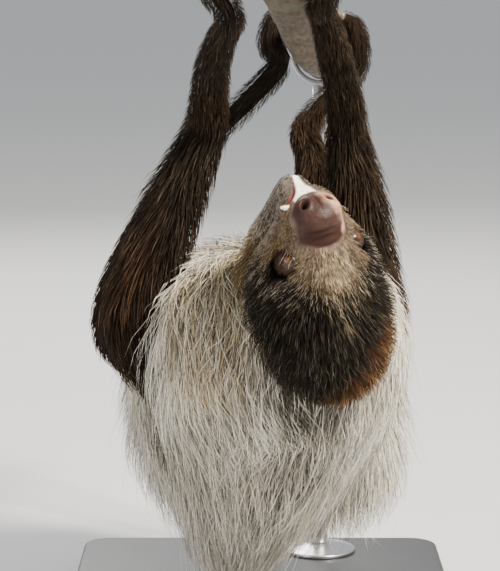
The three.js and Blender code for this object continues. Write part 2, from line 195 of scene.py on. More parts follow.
world = bpy.context.scene.world or bpy.data.worlds.new("room")
bpy.context.scene.world = world
world.use_nodes = True
sky = world.node_tree.nodes["Background"]
sky.inputs["Color"].default_value = (0.93, 0.96, 1.0, 1)
sky.inputs["Strength"].default_value = 0.7


def add_lamp(name, place, aim, size, power, color):
    """A square soft lamp that faces its aim."""
    lamp = in_scene(name, bpy.data.lights.new(name, "AREA"))
    lamp.data.size, lamp.data.energy, lamp.data.color = size, power, color
    lamp.location = place
    lamp.rotation_euler = (Vector(aim) - Vector(place)).to_track_quat("-Z", "Y").to_euler()


add_lamp("key_lamp", (1.7, -1.5, 2.5), (0.0, -0.2, 0.35), 0.6, 390, (1.0, 0.93, 0.82))
add_lamp("fill_lamp", (-2.2, -2.0, 1.2), (0.0, -0.1, 0.3), 1.6, 34, (0.90, 0.95, 1.0))
add_lamp("back_lamp", (-0.6, 2.4, 1.8), (0.0, 0.0, 0.35), 1.2, 60, (1.0, 0.98, 0.94))

# ---- perch ----
# A cut length of a living branch. Its bark is a thin grey-brown skin with shallow ridges that wind along
# it, and both ends are sawn, so they show pale wood with growth rings. It is a round form carried along a
# bent axis.
BRANCH_RADIUS = 22
BRANCH_LENGTH = 720
BARK = dict(swell=0.8, swell_rate=2.3, ridge=0.9, ridges=3, twist=9, sink=0.4)
# Each knot's place along the branch, angle round it, and size.
KNOTS = ((0.20, 2.2, 7), (0.47, 5.2, 9), (0.60, 1.3, 6), (0.90, 3.6, 8))
BRANCH = [
    [-16, -398, 590],
    [-3, -303, 580],
    [13, -210, 566],
    [28, -90, 541],
    [42, 50, 510],
    [50, 160, 497],
    [56, 258, 490],
    [60, 306, 488],
]
Z_UP = np.array([0.0, 0.0, 1.0])
X_RIGHT = np.array([1.0, 0.0, 0.0])


def unit(v):
    """Each vector at length one."""
    return v / (np.linalg.norm(v, axis=-1, keepdims=True) + 1e-12)


def through(rows, t):
    """The smooth curve through the rows, with t from 0 to 1 over them: in each span a cubic whose slope at
    a row is half the step between the row's two neighbours."""
    ends = np.vstack([2 * rows[:1] - rows[1:2], rows, 2 * rows[-1:] - rows[-2:-1]])
    x = np.clip(t, 0, 1) * (len(rows) - 1)
    i = np.minimum(x.astype(int), len(rows) - 2)
    w = (x - i)[..., None]
    a, b, c, d = ends[i], ends[i + 1], ends[i + 2], ends[i + 3]
    return b + w * (0.5 * (c - a) + w * (a - 2.5 * b + 2 * c - 0.5 * d + w * (1.5 * (b - c) + 0.5 * (d - a))))


class Form:
    """A rounded form along rows of centre x y z, half width, height above, depth below and coat depth.

    point(q, a, k) puts a point on the section at q, at angle a round it: centre + side * width * cos(a) +
    up * height * sin(a). q is 0 to 1 over the rows, -1 to 0 over the front dome and 1 to 2 over the rear one,
    where the section shrinks by cos and moves out by sin. k is the height in the coat: 0 on the skin and 1 at
    the tips of the hair. top is the direction that the section's up leans to; fixed gives all sections one
    along, side and up instead.
    """

    def __init__(self, rows, top, domes, start=0.0, end=1.0, fixed=None, hang=None):
        self.rows = np.array([list(r) + [0.0] * (7 - len(r)) for r in rows], float)
        self.top, self.domes, self.start, self.end = top, domes, start, end
        self.fixed, self.hang = fixed, hang

    def section(self, q):
        t = self.start + (self.end - self.start) * np.clip(q, 0, 1)
        row = through(self.rows, t)
        if self.fixed is None:
            ahead, behind = through(self.rows, t + 1e-3), through(self.rows, t - 1e-3)
            along = unit(ahead[..., :3] - behind[..., :3])
            side = unit(np.cross(self.top, along))
            up = np.cross(along, side)
        else:
            along, side, up = (np.broadcast_to(v, row[..., :3].shape) for v in self.fixed)
        return row[..., :3], along, side, up, row[..., 3:6], row[..., 6]

    def point(self, q, a, k=0.0):
        q, a = np.broadcast_arrays(q, a)
        centre, along, side, up, size, coat = self.section(q)
        inset = coat * (1 - k)
        c, s = np.cos(a), np.sin(a)
        wide = size[..., 0] - inset
        high = np.where(s < 0, size[..., 2], size[..., 1]) - inset
        out = side * (wide * c)[..., None] + up * (high * s)[..., None]
        if self.hang:
            out = out + self.hang(centre, side, c, s) * (0.35 + 0.65 * np.asarray(k))[..., None]
        over = np.clip(np.where(q < 0, -q, q - 1), 0, 1) * np.pi / 2
        dome = np.where(q < 0, self.domes[0], self.domes[1]) * size.min(-1) - inset
        shift = np.where(q < 0, -1, 1) * dome * np.sin(over)
        return centre + out * np.cos(over)[..., None] + along * shift[..., None]

    def place_of(self, p):
        """How far points lie outside the skin, or inside it below zero, with their place along the rows
        and angle round the section: from the nearest section, the distance times the share of it past
        the section's oval."""
        q = np.linspace(0, 1, 60)
        centre, along = self.section(q)[:2]
        span = np.linalg.norm(np.diff(centre, axis=0), axis=1).sum()
        far = (p**2).sum(1)[:, None] - 2 * p @ centre.T + (centre**2).sum(1)[None, :]
        near = far.argmin(1)
        near = q[near] + ((p - centre[near]) * along[near]).sum(1) / span
        centre, along, side, up, size, coat = self.section(near)
        v = p - centre
        x, y, z = (v * side).sum(1), (v * up).sum(1), (v * along).sum(1)
        z = np.where((near < 0) | (near > 1), z, 0)
        dome = np.where(near < 0, self.domes[0], self.domes[1]) * size.min(1) - coat
        wide, high = size[:, 0] - coat, np.where(y < 0, size[:, 2], size[:, 1]) - coat
        share = np.sqrt((x / wide) ** 2 + (y / high) ** 2 + (z / np.maximum(dome, 2)) ** 2) + 1e-9
        return np.sqrt(x * x + y * y + z * z) * (1 - 1 / share), near, np.arctan2(y / high, x / wide)

    def outside(self, p):
        return self.place_of(p)[0]

    def skin(self, along, around, shape=None):
        """The form's closed mesh: rings over the domes and rows, with a pole at each end."""
        dome = np.sin(np.linspace(0, np.pi / 2, 7))[1:-1]
        q = np.concatenate([-dome[::-1], np.linspace(0, 1, along), 1 + dome])
        a = np.linspace(0, 2 * np.pi, around, endpoint=False)
        q, a = np.meshgrid(q, a, indexing="ij")
        rings = self.point(q, a)
        if shape is not None:
            rings = rings + shape(q, a, self)
        poles = self.point(np.array([-1.0, 2.0]), np.zeros(2))
        return closed(rings, poles)


def ring_quads(rows, around, count):
    """Rows of quads between a count of rings, joined all round; as many rows as rings close them to a
    loop."""
    i, j = np.meshgrid(np.arange(rows), np.arange(around), indexing="ij")
    k = (j + 1) % around
    here, there = i * around, (i + 1) % count * around
    return np.stack([here + j, here + k, there + k, there + j], -1).reshape(-1, 4)


def closed(rings, poles):
    """Points and faces of rings joined into a tube that a pole closes at each end."""
    count, around = rings.shape[:2]
    quads = ring_quads(count - 1, around, count)
    j = np.arange(around)
    k = (j + 1) % around
    first, last = count * around, (count - 1) * around
    start = np.stack([0 * j + first, k, j], -1)
    end = np.stack([0 * j + first + 1, last + j, last + k], -1)
    return np.vstack([rings.reshape(-1, 3), poles]), [quads, start, end]


def lattice(cell, seed):
    """A random number from 0 to 1 for each whole-numbered cell."""
    x = np.sin(cell @ np.array([127.1, 311.7, 74.7]) + seed * 19.19) * 43758.5453
    return x - np.floor(x)


def lumps(p, size, seed=0):
    """A smooth random field from -1 to 1 whose lumps are about size across: random numbers at the corners
    of a lattice, blended inside each cell."""
    x = p / size
    cell = np.floor(x)
    f = x - cell
    f = f * f * (3 - 2 * f)
    total = 0
    for corner in itertools.product((0, 1), repeat=3):
        share = np.where(np.array(corner) > 0, f, 1 - f).prod(-1)
        total = total + share * lattice(cell + corner, seed)
    return total * 2 - 1


def wrapped(angle):
    """An angle brought to within half a turn of 0."""
    return np.mod(angle + np.pi, 2 * np.pi) - np.pi


def paint(piece, name, values):
    """Stores a colour with alpha for each vertex."""
    layer = piece.data.attributes.new(name, "FLOAT_COLOR", "POINT")
    layer.data.foreach_set("color", np.ascontiguousarray(values, np.float32).ravel())


branch = Form(
    [
        [*p, *[BRANCH_RADIUS + BARK["swell"] * math.sin(BARK["swell_rate"] * i)] * 3]
        for i, p in enumerate(BRANCH)
    ],
    Z_UP,
    (0.06, 0.06),
)


def bark_relief(q, a, form):
    """Three winding ridges, low lumps, fine lengthwise furrows and a few knots, all along the section's
    radius."""
    centre, along, side, up = form.section(q)[:4]
    out = side * np.cos(a)[..., None] + up * np.sin(a)[..., None]
    p = centre + out * BRANCH_RADIUS
    ridge = BARK["ridge"] * np.sin(BARK["ridges"] * a + BARK["twist"] * np.clip(q, 0, 1))
    stretched = p * [1, 0.12, 1]
    furrow = 0.5 * lumps(stretched, 4.0, 3) + 0.35 * lumps(stretched, 1.8, 4)
    knot = 0
    for at, turn_to, size in KNOTS:
        gap = np.hypot((q - at) * BRANCH_LENGTH, BRANCH_RADIUS * wrapped(a - turn_to))
        knot = knot + 1.6 * np.exp(-((gap / size) ** 2)) - 1.4 * np.exp(-((gap / (0.4 * size)) ** 2))
    height = ridge + 0.8 * lumps(p, 22, 5) + furrow * (np.abs(q - 0.5) < 0.5) + knot
    past_end = np.maximum(np.abs(q - 0.5) - 0.5, 0)
    return out * (height - BARK["sink"])[..., None] * np.clip(1.0 - past_end, 0, 1)[..., None]


bark, tree, shader = surface_material("bark", Roughness=0.85)
where = object_place(tree)
long_way = node(tree, "ShaderNodeMapping", {"Vector": where, "Scale": (1, 0.16, 1)}).outputs["Vector"]
streaks = noise(tree, long_way, 260, 6, Roughness=0.65)
patches = noise(tree, where, 28, 4, Roughness=0.6)
wood = toned(tree, streaks.outputs["Fac"], (0.32, (0.028, 0.019, 0.012)), (0.70, (0.135, 0.098, 0.064)))
lichen = toned(tree, patches.outputs["Fac"], (0.56, (0, 0, 0)), (0.74, (1, 1, 1)))
lichen_color = (0.115, 0.115, 0.076, 1)
outer_bark = node(tree, "ShaderNodeMix", {6: wood, 7: lichen_color, 0: lichen}, data_type="RGBA")
cut = node(tree, "ShaderNodeAttribute", attribute_name="cut")
from_middle = node(tree, "ShaderNodeAttribute", attribute_name="from_pith")
rings_of_age = node(
    tree,
    "ShaderNodeTexWave",
    {"Vector": from_middle.outputs["Vector"], "Scale": 115, "Distortion": 1.2, "Detail": 2},
    wave_type="RINGS",
    rings_direction="SPHERICAL",
)
pale = toned(tree, rings_of_age.outputs["Fac"], (0, (0.42, 0.28, 0.15)), (1, (0.62, 0.46, 0.28)))
sawn = node(
    tree, "ShaderNodeMix", {6: outer_bark.outputs[2], 7: pale, 0: cut.outputs["Fac"]}, data_type="RGBA"
)
tree.links.new(sawn.outputs[2], shader.inputs["Base Color"])
bumped(tree, shader, streaks.outputs["Fac"], 0.55, 0.0012)

points, faces = branch.skin(300, 96, bark_relief)
perch = add_mesh("perch_bark", points, faces, [bark], "bark", ["perch"])
ends, end_along = branch.section(np.array([0.0, 1.0]))[:2]
front_half = points[:, 1] < -100
from_pith = np.where(front_half[:, None], points - ends[0], points - ends[1])
out_of_end = np.where(front_half, -from_pith @ end_along[0], from_pith @ end_along[1])
radius = np.linalg.norm(from_pith, axis=1)
is_cut = np.clip((out_of_end + 0.2) * 4, 0, 1) * (radius < BRANCH_RADIUS - 1.5)
paint(perch, "cut", np.repeat(is_cut[:, None], 4, 1))
pith = perch.data.attributes.new("from_pith", "FLOAT_VECTOR", "POINT")
pith.data.foreach_set("vector", np.ascontiguousarray(from_pith * 0.001, np.float32).ravel())

# ---- display stand ----
# A flat base plate of painted steel, with rounded corners and a soft bevel, carries one bright steel rod in
# a turned flange. The rod ends under a steel ring round the branch.
BASE = dict(length=620, width=340, thickness=18, corner=26, bevel=3)
ROD = dict(radius=8, flange_radius=34, flange_lip=3, flange_height=8, shoulder=5)
COLLAR = dict(length=26, wall=4, clearance=2)
SEAM = 0.4
ROD_STATION = 6


def carried(profile, centre, along, sides):
    """A profile of (radius, height) turned about a line: each of its points makes a ring, and a closed
    profile closes on itself."""
    along = unit(np.asarray(along, float))
    side = unit(np.cross([0.3, 1.0, 0.1], along))
    up = np.cross(along, side)
    a = np.linspace(0, 2 * np.pi, sides, endpoint=False)[None, :, None]
    r, h = np.array(profile, float).T[:, :, None, None]
    return centre + (side * np.cos(a) + up * np.sin(a)) * r + along * h


def rounded(profile, bevel, steps=3):
    """The profile with each inner corner cut back by the bevel along both its edges and rounded between."""
    profile = np.array(profile, float)
    made = [profile[0]]
    for before, corner, after in zip(profile, profile[1:], profile[2:]):
        reach = min(bevel, *(0.45 * np.linalg.norm(other - corner) for other in (before, after)))
        first, last = (corner + unit(other - corner) * reach for other in (before, after))
        for t in np.linspace(0, 1, steps + 1):
            made.append((1 - t) ** 2 * first + 2 * t * (1 - t) * corner + t * t * last)
    return made + [profile[-1]]


stand_paint, tree, shader = surface_material(
    "stand_paint", Roughness=0.42, Coat_Weight=0.15, Coat_Roughness=0.3
)
where = object_place(tree)
grain = noise(tree, where, 900, 3)
cloud = noise(tree, where, 14, 5).outputs["Fac"]
tone = toned(tree, cloud, (0, (0.018, 0.018, 0.019)), (1, (0.032, 0.032, 0.034)))
tree.links.new(tone, shader.inputs["Base Color"])
tree.links.new(spread(tree, cloud, 0.36, 0.52), shader.inputs["Roughness"])
bumped(tree, shader, grain.outputs["Fac"], 0.12, 0.0005)

steel, tree, shader = surface_material("rod_steel", Metallic=1.0, Roughness=0.3)
turned = node(tree, "ShaderNodeMapping", {"Vector": object_place(tree), "Scale": (1, 1, 9)})
lines = noise(tree, turned.outputs["Vector"], 160, 5).outputs["Fac"]
tone = toned(tree, lines, (0, (0.46, 0.46, 0.47)), (1, (0.66, 0.66, 0.67)))
tree.links.new(tone, shader.inputs["Base Color"])
tree.links.new(spread(tree, lines, 0.22, 0.40), shader.inputs["Roughness"])

# The plate's outline is walked once round, and its side profile is set in along the outline's normal.
x, y, r = BASE["width"] / 2, BASE["length"] / 2, BASE["corner"]
quarter = np.linspace(0, np.pi / 2, 13)
turns = np.concatenate([quarter - np.pi / 2, quarter, quarter + np.pi / 2, quarter + np.pi])
signs = np.repeat([[1, -1], [1, 1], [-1, 1], [-1, -1]], 13, axis=0)
corner_at = signs * [x - r, y - r]
facing = np.stack([np.cos(turns), np.sin(turns)], 1)
b, top_at = BASE["bevel"], BASE["thickness"]
ease = np.linspace(0, np.pi / 2, 6)
plate_profile = [(0.0, 0.0), (0.0, 1.0), (0.0, top_at - b - 1)]
plate_profile += [(b * (1 - math.cos(e)), top_at - b + b * math.sin(e)) for e in ease]
plate_profile += [(b + 2, top_at)]
rings = np.stack(
    [
        np.column_stack([corner_at + facing * (r - inset), np.full(len(turns), height)])
        for inset, height in plate_profile
    ]
)
points, faces = closed(rings, np.array([[0.0, 0, 0], [0, 0, top_at]]))
add_mesh("base_plate", points, faces, [stand_paint], "stand_paint", ["stand_base"])

middle, rod_along = (v[0] for v in branch.section(np.array([ROD_STATION / (len(BRANCH) - 1)]))[:2])
foot = np.array([middle[0], middle[1], BASE["thickness"] + SEAM])
profile = [(0.01, 0), (ROD["flange_radius"], 0), (ROD["flange_radius"], ROD["flange_lip"])]
profile += [(ROD["radius"] + ROD["shoulder"], ROD["flange_height"]), (0.01, ROD["flange_height"])]
rings = carried(rounded(profile, 1.0), foot, Z_UP, 96)
points, faces = closed(rings, np.array([foot, foot + [0, 0, ROD["flange_height"]]]))
add_mesh("rod_flange", points, faces, [steel], "rod_steel", ["stand_flange"])

inner = BRANCH_RADIUS + COLLAR["clearance"]
outer, half = inner + COLLAR["wall"], COLLAR["length"] / 2
foot = foot + [0, 0, ROD["flange_height"] + SEAM]
round_rod = circle(64)
level = np.hypot(*rod_along[:2])
low_ring = foot + round_rod * ROD["radius"]
from_axis = low_ring - middle
flat = from_axis - np.outer(from_axis @ rod_along, rod_along)
across = flat[:, :2] @ np.array([rod_along[1], -rod_along[0]]) / level
drop = np.sqrt(np.maximum((outer + SEAM) ** 2 - across**2, 0)) / level
slope = rod_along[2] / level
rise = (low_ring[:, :2] - middle[:2]) @ rod_along[:2] / level * slope
top_ring = np.column_stack([low_ring[:, :2], middle[2] - drop + rise])
shrink = [(0.9, 0.0), (1.0, 0.8)]
rings = np.stack(
    [foot + round_rod * ROD["radius"] * share + [0, 0, h] for share, h in shrink]
    + [low_ring * (1 - t) + top_ring * t for t in np.linspace(0.02, 0.999, 12)]
)
points, faces = closed(rings, np.array([foot, [foot[0], foot[1], top_ring[:, 2].min()]]))
add_mesh("display_rod", points, faces, [steel], "rod_steel", ["stand_rod"])

profile = [(inner, -half + 3), (inner, -half), (outer, -half)]
profile += [(outer, half), (inner, half), (inner, -half + 3.5)]
rings = carried(rounded(profile, 0.9), middle, rod_along, 96)
quads = ring_quads(len(rings), 96, len(rings))
add_mesh("branch_ring", rings.reshape(-1, 3), [quads], [steel], "rod_steel", ["stand_collar"])

# ---- forms of the body ----
# Head, body and limbs are rounded forms along rows. The last number of a row is the coat's depth there,
# which the skin lies under: thin on the face and hands, deep on the neck and back.
HEAD_ORIGIN = np.array([37.0, -320, 379])  # midway between the eyeballs
FORWARD = unit(np.array([0.026, -0.6, 0.799]))
LEFT = unit(np.cross([0.472, -0.697, -0.539], FORWARD))
CROWN = np.cross(FORWARD, LEFT)
HEAD_AXES = np.stack([FORWARD, LEFT, CROWN])
# Stations along the head, nape to snout: forward, centre height, half width, height above, depth below,
# coat.
HEAD = [
    [-104, 14, 32, 38, 26, 14],
    [-88, 10, 44, 55, 38, 16],
    [-66, 5, 51, 65, 46, 17],
    [-45, 0, 53.5, 64, 46, 16],
    [-25, -3, 50, 56, 42, 13],
    [-10, -6, 43, 44, 34, 8],
    [3, -9, 34.5, 34, 28, 4],
    [13, -11, 27.5, 27.5, 25, 1.6],
    [22, -13, 22.5, 23.5, 23, 0.6],
    [30, -15, 19, 21, 20.5, 0.2],
]
JAW = [
    [-69, -34, 41, 20, 30, 12],
    [-47, -38, 44, 20, 28, 12],
    [-20, -39, 36, 15, 22, 8],
    [-2, -40, 27, 11, 16, 4],
    [12, -40, 20, 8, 12, 1.6],
    [23, -41, 14.5, 7, 9, 0.8],
    [30, -42, 9, 5, 6.5, 0.4],
]
NOSE = dict(forward=31, up=-6, half_width=19, half_height=17, depth=11)
EAR = dict(forward=-47, side=50, up=6, length=15, height=12, thickness=10)
BODY = [
    [34, -284, 340, 48, 46, 44, 16],
    [31, -262, 326, 72, 66, 60, 20],
    [20, -232, 307, 96, 87, 84, 24],
    [10, -196, 290, 103, 91, 99, 26],
    [3, -150, 271, 104, 88, 108, 27],
    [0, -90, 254, 108, 92, 114, 28],
    [-2, -20, 243, 110, 92, 116, 28],
    [0, 50, 244, 118, 92, 108, 28],
    [2, 115, 254, 125, 90, 98, 26],
    [4, 165, 268, 100, 78, 80, 24],
    [5, 198, 280, 60, 50, 50, 20],
]
HAUNCH = dict(left=(-24, -30), right=(31, -64), centre=78, reach=130, angle=44, spread=31)
KEEL = dict(depth=62, lean=-26, centre=-50, reach=150, sharpness=6)
# Limbs from the body to the wrist or ankle: x, y, z, half depth front to back, half width; the coat
# follows.
LIMBS = {
    "arm_left": [
        [-62, -172, 262, 34, 34],
        [-90, -181, 302, 37, 36],
        [-84, -178, 345, 34, 31],
        [-66, -175, 398, 28, 27],
        [-45, -173, 446, 21, 20],
        [-40, -198, 474, 17, 16.5],
        [-37, -238, 499, 15, 14.5],
        [-30, -278, 521, 13, 12.5],
        [-23, -305, 537, 11, 10.5],
    ],
    "arm_right": [
        [54, -135, 262, 34, 34],
        [80, -142, 298, 36, 35],
        [78, -136, 345, 32, 30],
        [72, -130, 396, 27, 26],
        [65, -127, 438, 21, 20],
        [62, -142, 468, 17, 16.5],
        [55, -170, 497, 15, 15],
        [47, -196, 524, 13, 13],
        [41, -212, 542, 11, 11],
    ],
    "leg_left": [
        [-62, 118, 256, 40, 38],
        [-88, 80, 256, 39, 36],
        [-108, 44, 258, 33, 32],
        [-117, 18, 269, 28, 28],
        [-117, 6, 296, 25, 25],
        [-104, 12, 334, 21, 21],
        [-84, 26, 374, 17, 17],
        [-60, 43, 412, 13.5, 13],
    ],
    "leg_right": [
        [66, 122, 262, 40, 38],
        [65, 84, 286, 38, 36],
        [58, 44, 308, 32, 31],
        [51, 16, 324, 28, 27],
        [48, 6, 348, 25, 25],
        [46, 18, 380, 21, 21],
        [43, 46, 409, 17, 17],
        [38, 74, 436, 13.5, 13],
    ],
}
ARM_COAT = [13, 13, 12, 10, 7, 6, 5, 4.5, 4]
LEG_COAT = [16, 15, 13, 11, 9, 7, 6, 5]
# Each limb's wrist row, and its hold on the branch: the place along it, the side it comes up on, the number
# of claws, the palm's half width and the angle round the branch where the claws end.
HAND = dict(wrist=8, claws=2, half_width=17, reach=196)
FOOT = dict(wrist=7, claws=3, half_width=19, reach=172)
HOLDS = {
    "arm_left": dict(HAND, along=0.125, side=-1, name="hand_left"),
    "arm_right": dict(HAND, along=0.27, side=1, name="hand_right"),
    "leg_left": dict(FOOT, along=0.585, side=-1, name="foot_left"),
    "leg_right": dict(FOOT, along=0.655, side=1, name="foot_right"),
}
PALM_THICKNESS = 12
# The palm's rows round the branch: angle, distance out from its own line, share of half width, half
# thickness.
PALM = [[-38, 3, 0.78, 11.5], [-4, 0, 1, 12], [28, 0, 1, 11], [48, -2, 0.82, 8.5]]


def hump(value, centre, reach):
    """1 at the centre, falling with the square of the distance to 0 at the reach."""
    return np.maximum(0, 1 - ((value - centre) / reach) ** 2)


def hanging_hair(centre, side, c, s):
    """What hanging hair adds to the body's oval: a keel in the middle and haunches at the sides."""
    y = centre[..., 1]
    keel = hump(y, KEEL["centre"], KEEL["reach"]) * np.abs(s) ** KEEL["sharpness"]
    keel = np.where(s < 0, keel, 0)
    below = np.degrees(np.arctan2(-s, np.abs(c)))
    haunch = hump(y, HAUNCH["centre"], HAUNCH["reach"])
    haunch = haunch * hump(below, HAUNCH["angle"], HAUNCH["spread"])
    on_left = c * side[..., 0] < 0
    out = np.where(on_left, HAUNCH["left"][0], HAUNCH["right"][0])
    down = np.where(on_left, HAUNCH["left"][1], HAUNCH["right"][1])
    return np.stack([KEEL["lean"] * keel + out * haunch, 0 * keel, down * haunch - KEEL["depth"] * keel], -1)


def in_head(f, l, u):
    """A place in the head's frame: forward to the nose, towards its left side, up to its crown."""
    return HEAD_ORIGIN + np.stack(np.broadcast_arrays(f, l, u), -1) @ HEAD_AXES


def round_branch(hold, angle, radius, shift=0.0):
    """A place round the branch at a hold: angle 0 is level on the limb's side, and 90 is on top."""
    centre, along, side, up = (v[0] for v in branch.section(np.array([hold["along"]]))[:4])
    turn_by = math.radians(angle)
    out = side * -hold["side"]
    return centre + along * shift + radius * (out * math.cos(turn_by) + up * math.sin(turn_by))


def head_form(rows, domes):
    """A form along stations in the head's middle plane."""
    rows = [[*in_head(f, 0, u), *sizes] for f, u, *sizes in rows]
    return Form(rows, CROWN, domes, fixed=HEAD_AXES)


skull = head_form(HEAD, (0.5, 0.35))
jaw = head_form(JAW, (0.7, 0.7))
body = Form(BODY, Z_UP, (0.32, 0.55), hang=hanging_hair)
limbs, palms = {}, {}
for name, hold in HOLDS.items():
    coats = ARM_COAT if name.startswith("arm") else LEG_COAT
    rows = [[*row, row[4], coat] for row, coat in zip(LIMBS[name], coats)]
    line = BRANCH_RADIUS + PALM_THICKNESS + 2
    for (angle, out, share, thick), coat in zip(PALM, (3.5, 3, 2.5, 2)):
        rows.append([*round_branch(hold, angle, line + out), share * hold["half_width"], thick, thick, coat])
    wrist = hold["wrist"] / (len(rows) - 1)
    radial = round_branch(hold, 0, 1) - round_branch(hold, 0, 0)
    limbs[name] = Form(rows, X_RIGHT, (0.75, 0.6), 0, wrist + 0.02)
    palms[name] = Form(rows, radial, (0.6, 0.6), wrist - 0.02, 1)


def globe(lat, around):
    """Places on a ball of radius one, at latitudes from its first axis and all round it."""
    lon = np.linspace(0, 2 * np.pi, around, endpoint=False)[None, :]
    return np.stack([np.sin(lat) + 0 * lon, np.cos(lat) * np.cos(lon), np.cos(lat) * np.sin(lon)], -1)


def ball(place, half_sizes, axes, around=48):
    """A closed ellipsoid: rings of latitude scaled along three axes."""
    lat = np.linspace(-np.pi / 2, np.pi / 2, around // 2 + 1)[1:-1, None]
    poles = np.array([[-1.0, 0, 0], [1, 0, 0]])
    return closed(place + globe(lat, around) * half_sizes @ axes, place + poles * half_sizes @ axes)


# ---- skin ----
# One continuous skin under the coat, from the bare nose to the leathery palms. The forms are joined,
# remeshed as one surface and smoothed; the face is then divided more finely for lids, nostrils, lips and
# folds.
EYE = dict(forward=0.5, side=23.6, up=1.8, radius=8.0, gaze=(0.78, 0.5, 0.37))
LID = dict(radius=9.2, opening=45, squint=41, reach=13.5)
NOSTRIL = dict(side=9.0, up=-7.5, radius=2.1, depth=6.0)
SKIN_GRAIN = 0.003

shells = [form.skin(110, 96) for form in (body, skull, jaw)]
shells += [form.skin(90, 40) for form in limbs.values()] + [form.skin(40, 40) for form in palms.values()]
sizes = [NOSE["depth"], NOSE["half_width"], NOSE["half_height"]]
shells.append(ball(in_head(NOSE["forward"], 0, NOSE["up"]), sizes, HEAD_AXES))
for side in (1, -1):
    sizes = [EAR["length"] / 2, 0.35 * EAR["thickness"], EAR["height"] / 2]
    shells.append(ball(in_head(EAR["forward"], side * (EAR["side"] - 6), EAR["up"]), sizes, HEAD_AXES, 24))
offset, all_points, quads, triangles = 0, [], [], []
for points, faces in shells:
    all_points.append(points)
    quads.append(faces[0] + offset)
    triangles += [faces[1] + offset, faces[2] + offset]
    offset += len(points)
joined = add_mesh("joined_forms", np.vstack(all_points), [np.vstack(quads), np.vstack(triangles)], [])
remesh = joined.modifiers.new("one_surface", "REMESH")
remesh.mode, remesh.voxel_size = "VOXEL", SKIN_GRAIN
bpy.context.view_layer.update()
fused = bpy.data.meshes.new_from_object(joined.evaluated_get(bpy.context.evaluated_depsgraph_get()))
bpy.data.objects.remove(joined)


def coordinates(mesh):
    """Vertex places as an array, in millimetres."""
    flat = np.empty(len(mesh.vertices) * 3, np.float32)
    mesh.vertices.foreach_get("co", flat)
    return flat.reshape(-1, 3).astype(float) * 1000


def relax(mesh, places, rounds, share):
    """Each vertex moves towards the mean of its neighbours, by its share, for some rounds."""
    ends = np.empty(len(mesh.edges) * 2, np.int32)
    mesh.edges.foreach_get("vertices", ends)
    a, b = ends.reshape(-1, 2).T
    count = np.bincount(ends, minlength=len(places))[:, None]
    for _ in range(rounds):
        total = np.stack(
            [
                np.bincount(a, places[b, i], len(places)) + np.bincount(b, places[a, i], len(places))
                for i in range(3)
            ],
            1,
        )
        places = places + share * (total / np.maximum(count, 1) - places)
    return places


def head_frame(p):
    """Places as forward, left and up in the head's frame."""
    return (p - HEAD_ORIGIN) @ HEAD_AXES.T


set_vertices(fused, relax(fused, coordinates(fused), 6, 0.5))
fine = bmesh.new()
fine.from_mesh(fused)
for reach in (1.0, 0.8):
    fine.verts.ensure_lookup_table()
    fine.edges.ensure_lookup_table()
    places = np.array([v.co for v in fine.verts]) * 1000
    f, l, u = head_frame(places).T
    in_face = (f > 28 - 42 * reach) & (f < 60) & (np.abs(l) < 44) & (u > -62) & (u < 32)
    chosen = [e for e in fine.edges if in_face[e.verts[0].index] and in_face[e.verts[1].index]]
    bmesh.ops.subdivide_edges(fine, edges=chosen, cuts=1, use_grid_fill=True)
bmesh.ops.triangulate(fine, faces=[f for f in fine.faces if len(f.verts) > 4])
fine.to_mesh(fused)
fine.free()

places = coordinates(fused)
f, l, u = head_frame(places).T
in_face = np.clip((f + 12) / 6, 0, 1) * np.clip((44 - np.abs(l)) / 6, 0, 1) * np.clip((32 - u) / 6, 0, 1)
places += (relax(fused, places, 4, 0.5) - places) * in_face[:, None]


def bell(x, width):
    """A smooth bump of height one and the width given."""
    return np.exp(-((x / width) ** 2))


def ramp(x, low, high):
    """0 below low, 1 above high, smooth between."""
    t = np.clip((x - low) / (high - low), 0, 1)
    return t * t * (3 - 2 * t)


def eye_place(side):
    """An eyeball's middle and the way it looks."""
    centre = in_head(EYE["forward"], side * EYE["side"], EYE["up"])
    return centre, unit(np.array(EYE["gaze"]) * [1, side, 1]) @ HEAD_AXES


def add_lids(p, side):
    """Skin near an eye is drawn over the ball to the lid's radius, with a rim round the opening, inside
    which it turns under the ball's surface. Rings of folds run round the lids."""
    centre, gaze = eye_place(side)
    across = unit(FORWARD - gaze * (FORWARD @ gaze))
    v = p - centre
    r = np.linalg.norm(v, axis=1)
    angle = np.degrees(np.arccos(np.clip(v @ gaze / (r + 1e-9), -1, 1)))
    turn_to = np.arctan2(v @ np.cross(gaze, across), v @ across)
    opening = LID["squint"] + (LID["opening"] - LID["squint"]) * np.cos(turn_to) ** 2
    near = ramp(LID["reach"] + 8 - r, 0, 8) * ramp(100 - angle, 0, 42)
    rim = 0.5 * bell(angle - opening - 3.5, 5)
    edge = ramp(angle - opening, -5, 2)
    target = (EYE["radius"] - 1.2) * (1 - edge) + (LID["radius"] + rim) * edge
    folds = 0.38 * np.cos((angle - opening) * 2 * np.pi / 17) * ramp(angle - opening, 4, 14) * near
    moved = r + (target - r) * near + folds
    return centre + v / (r[:, None] + 1e-9) * moved[:, None]


for side in (1, -1):
    places = add_lids(places, side)

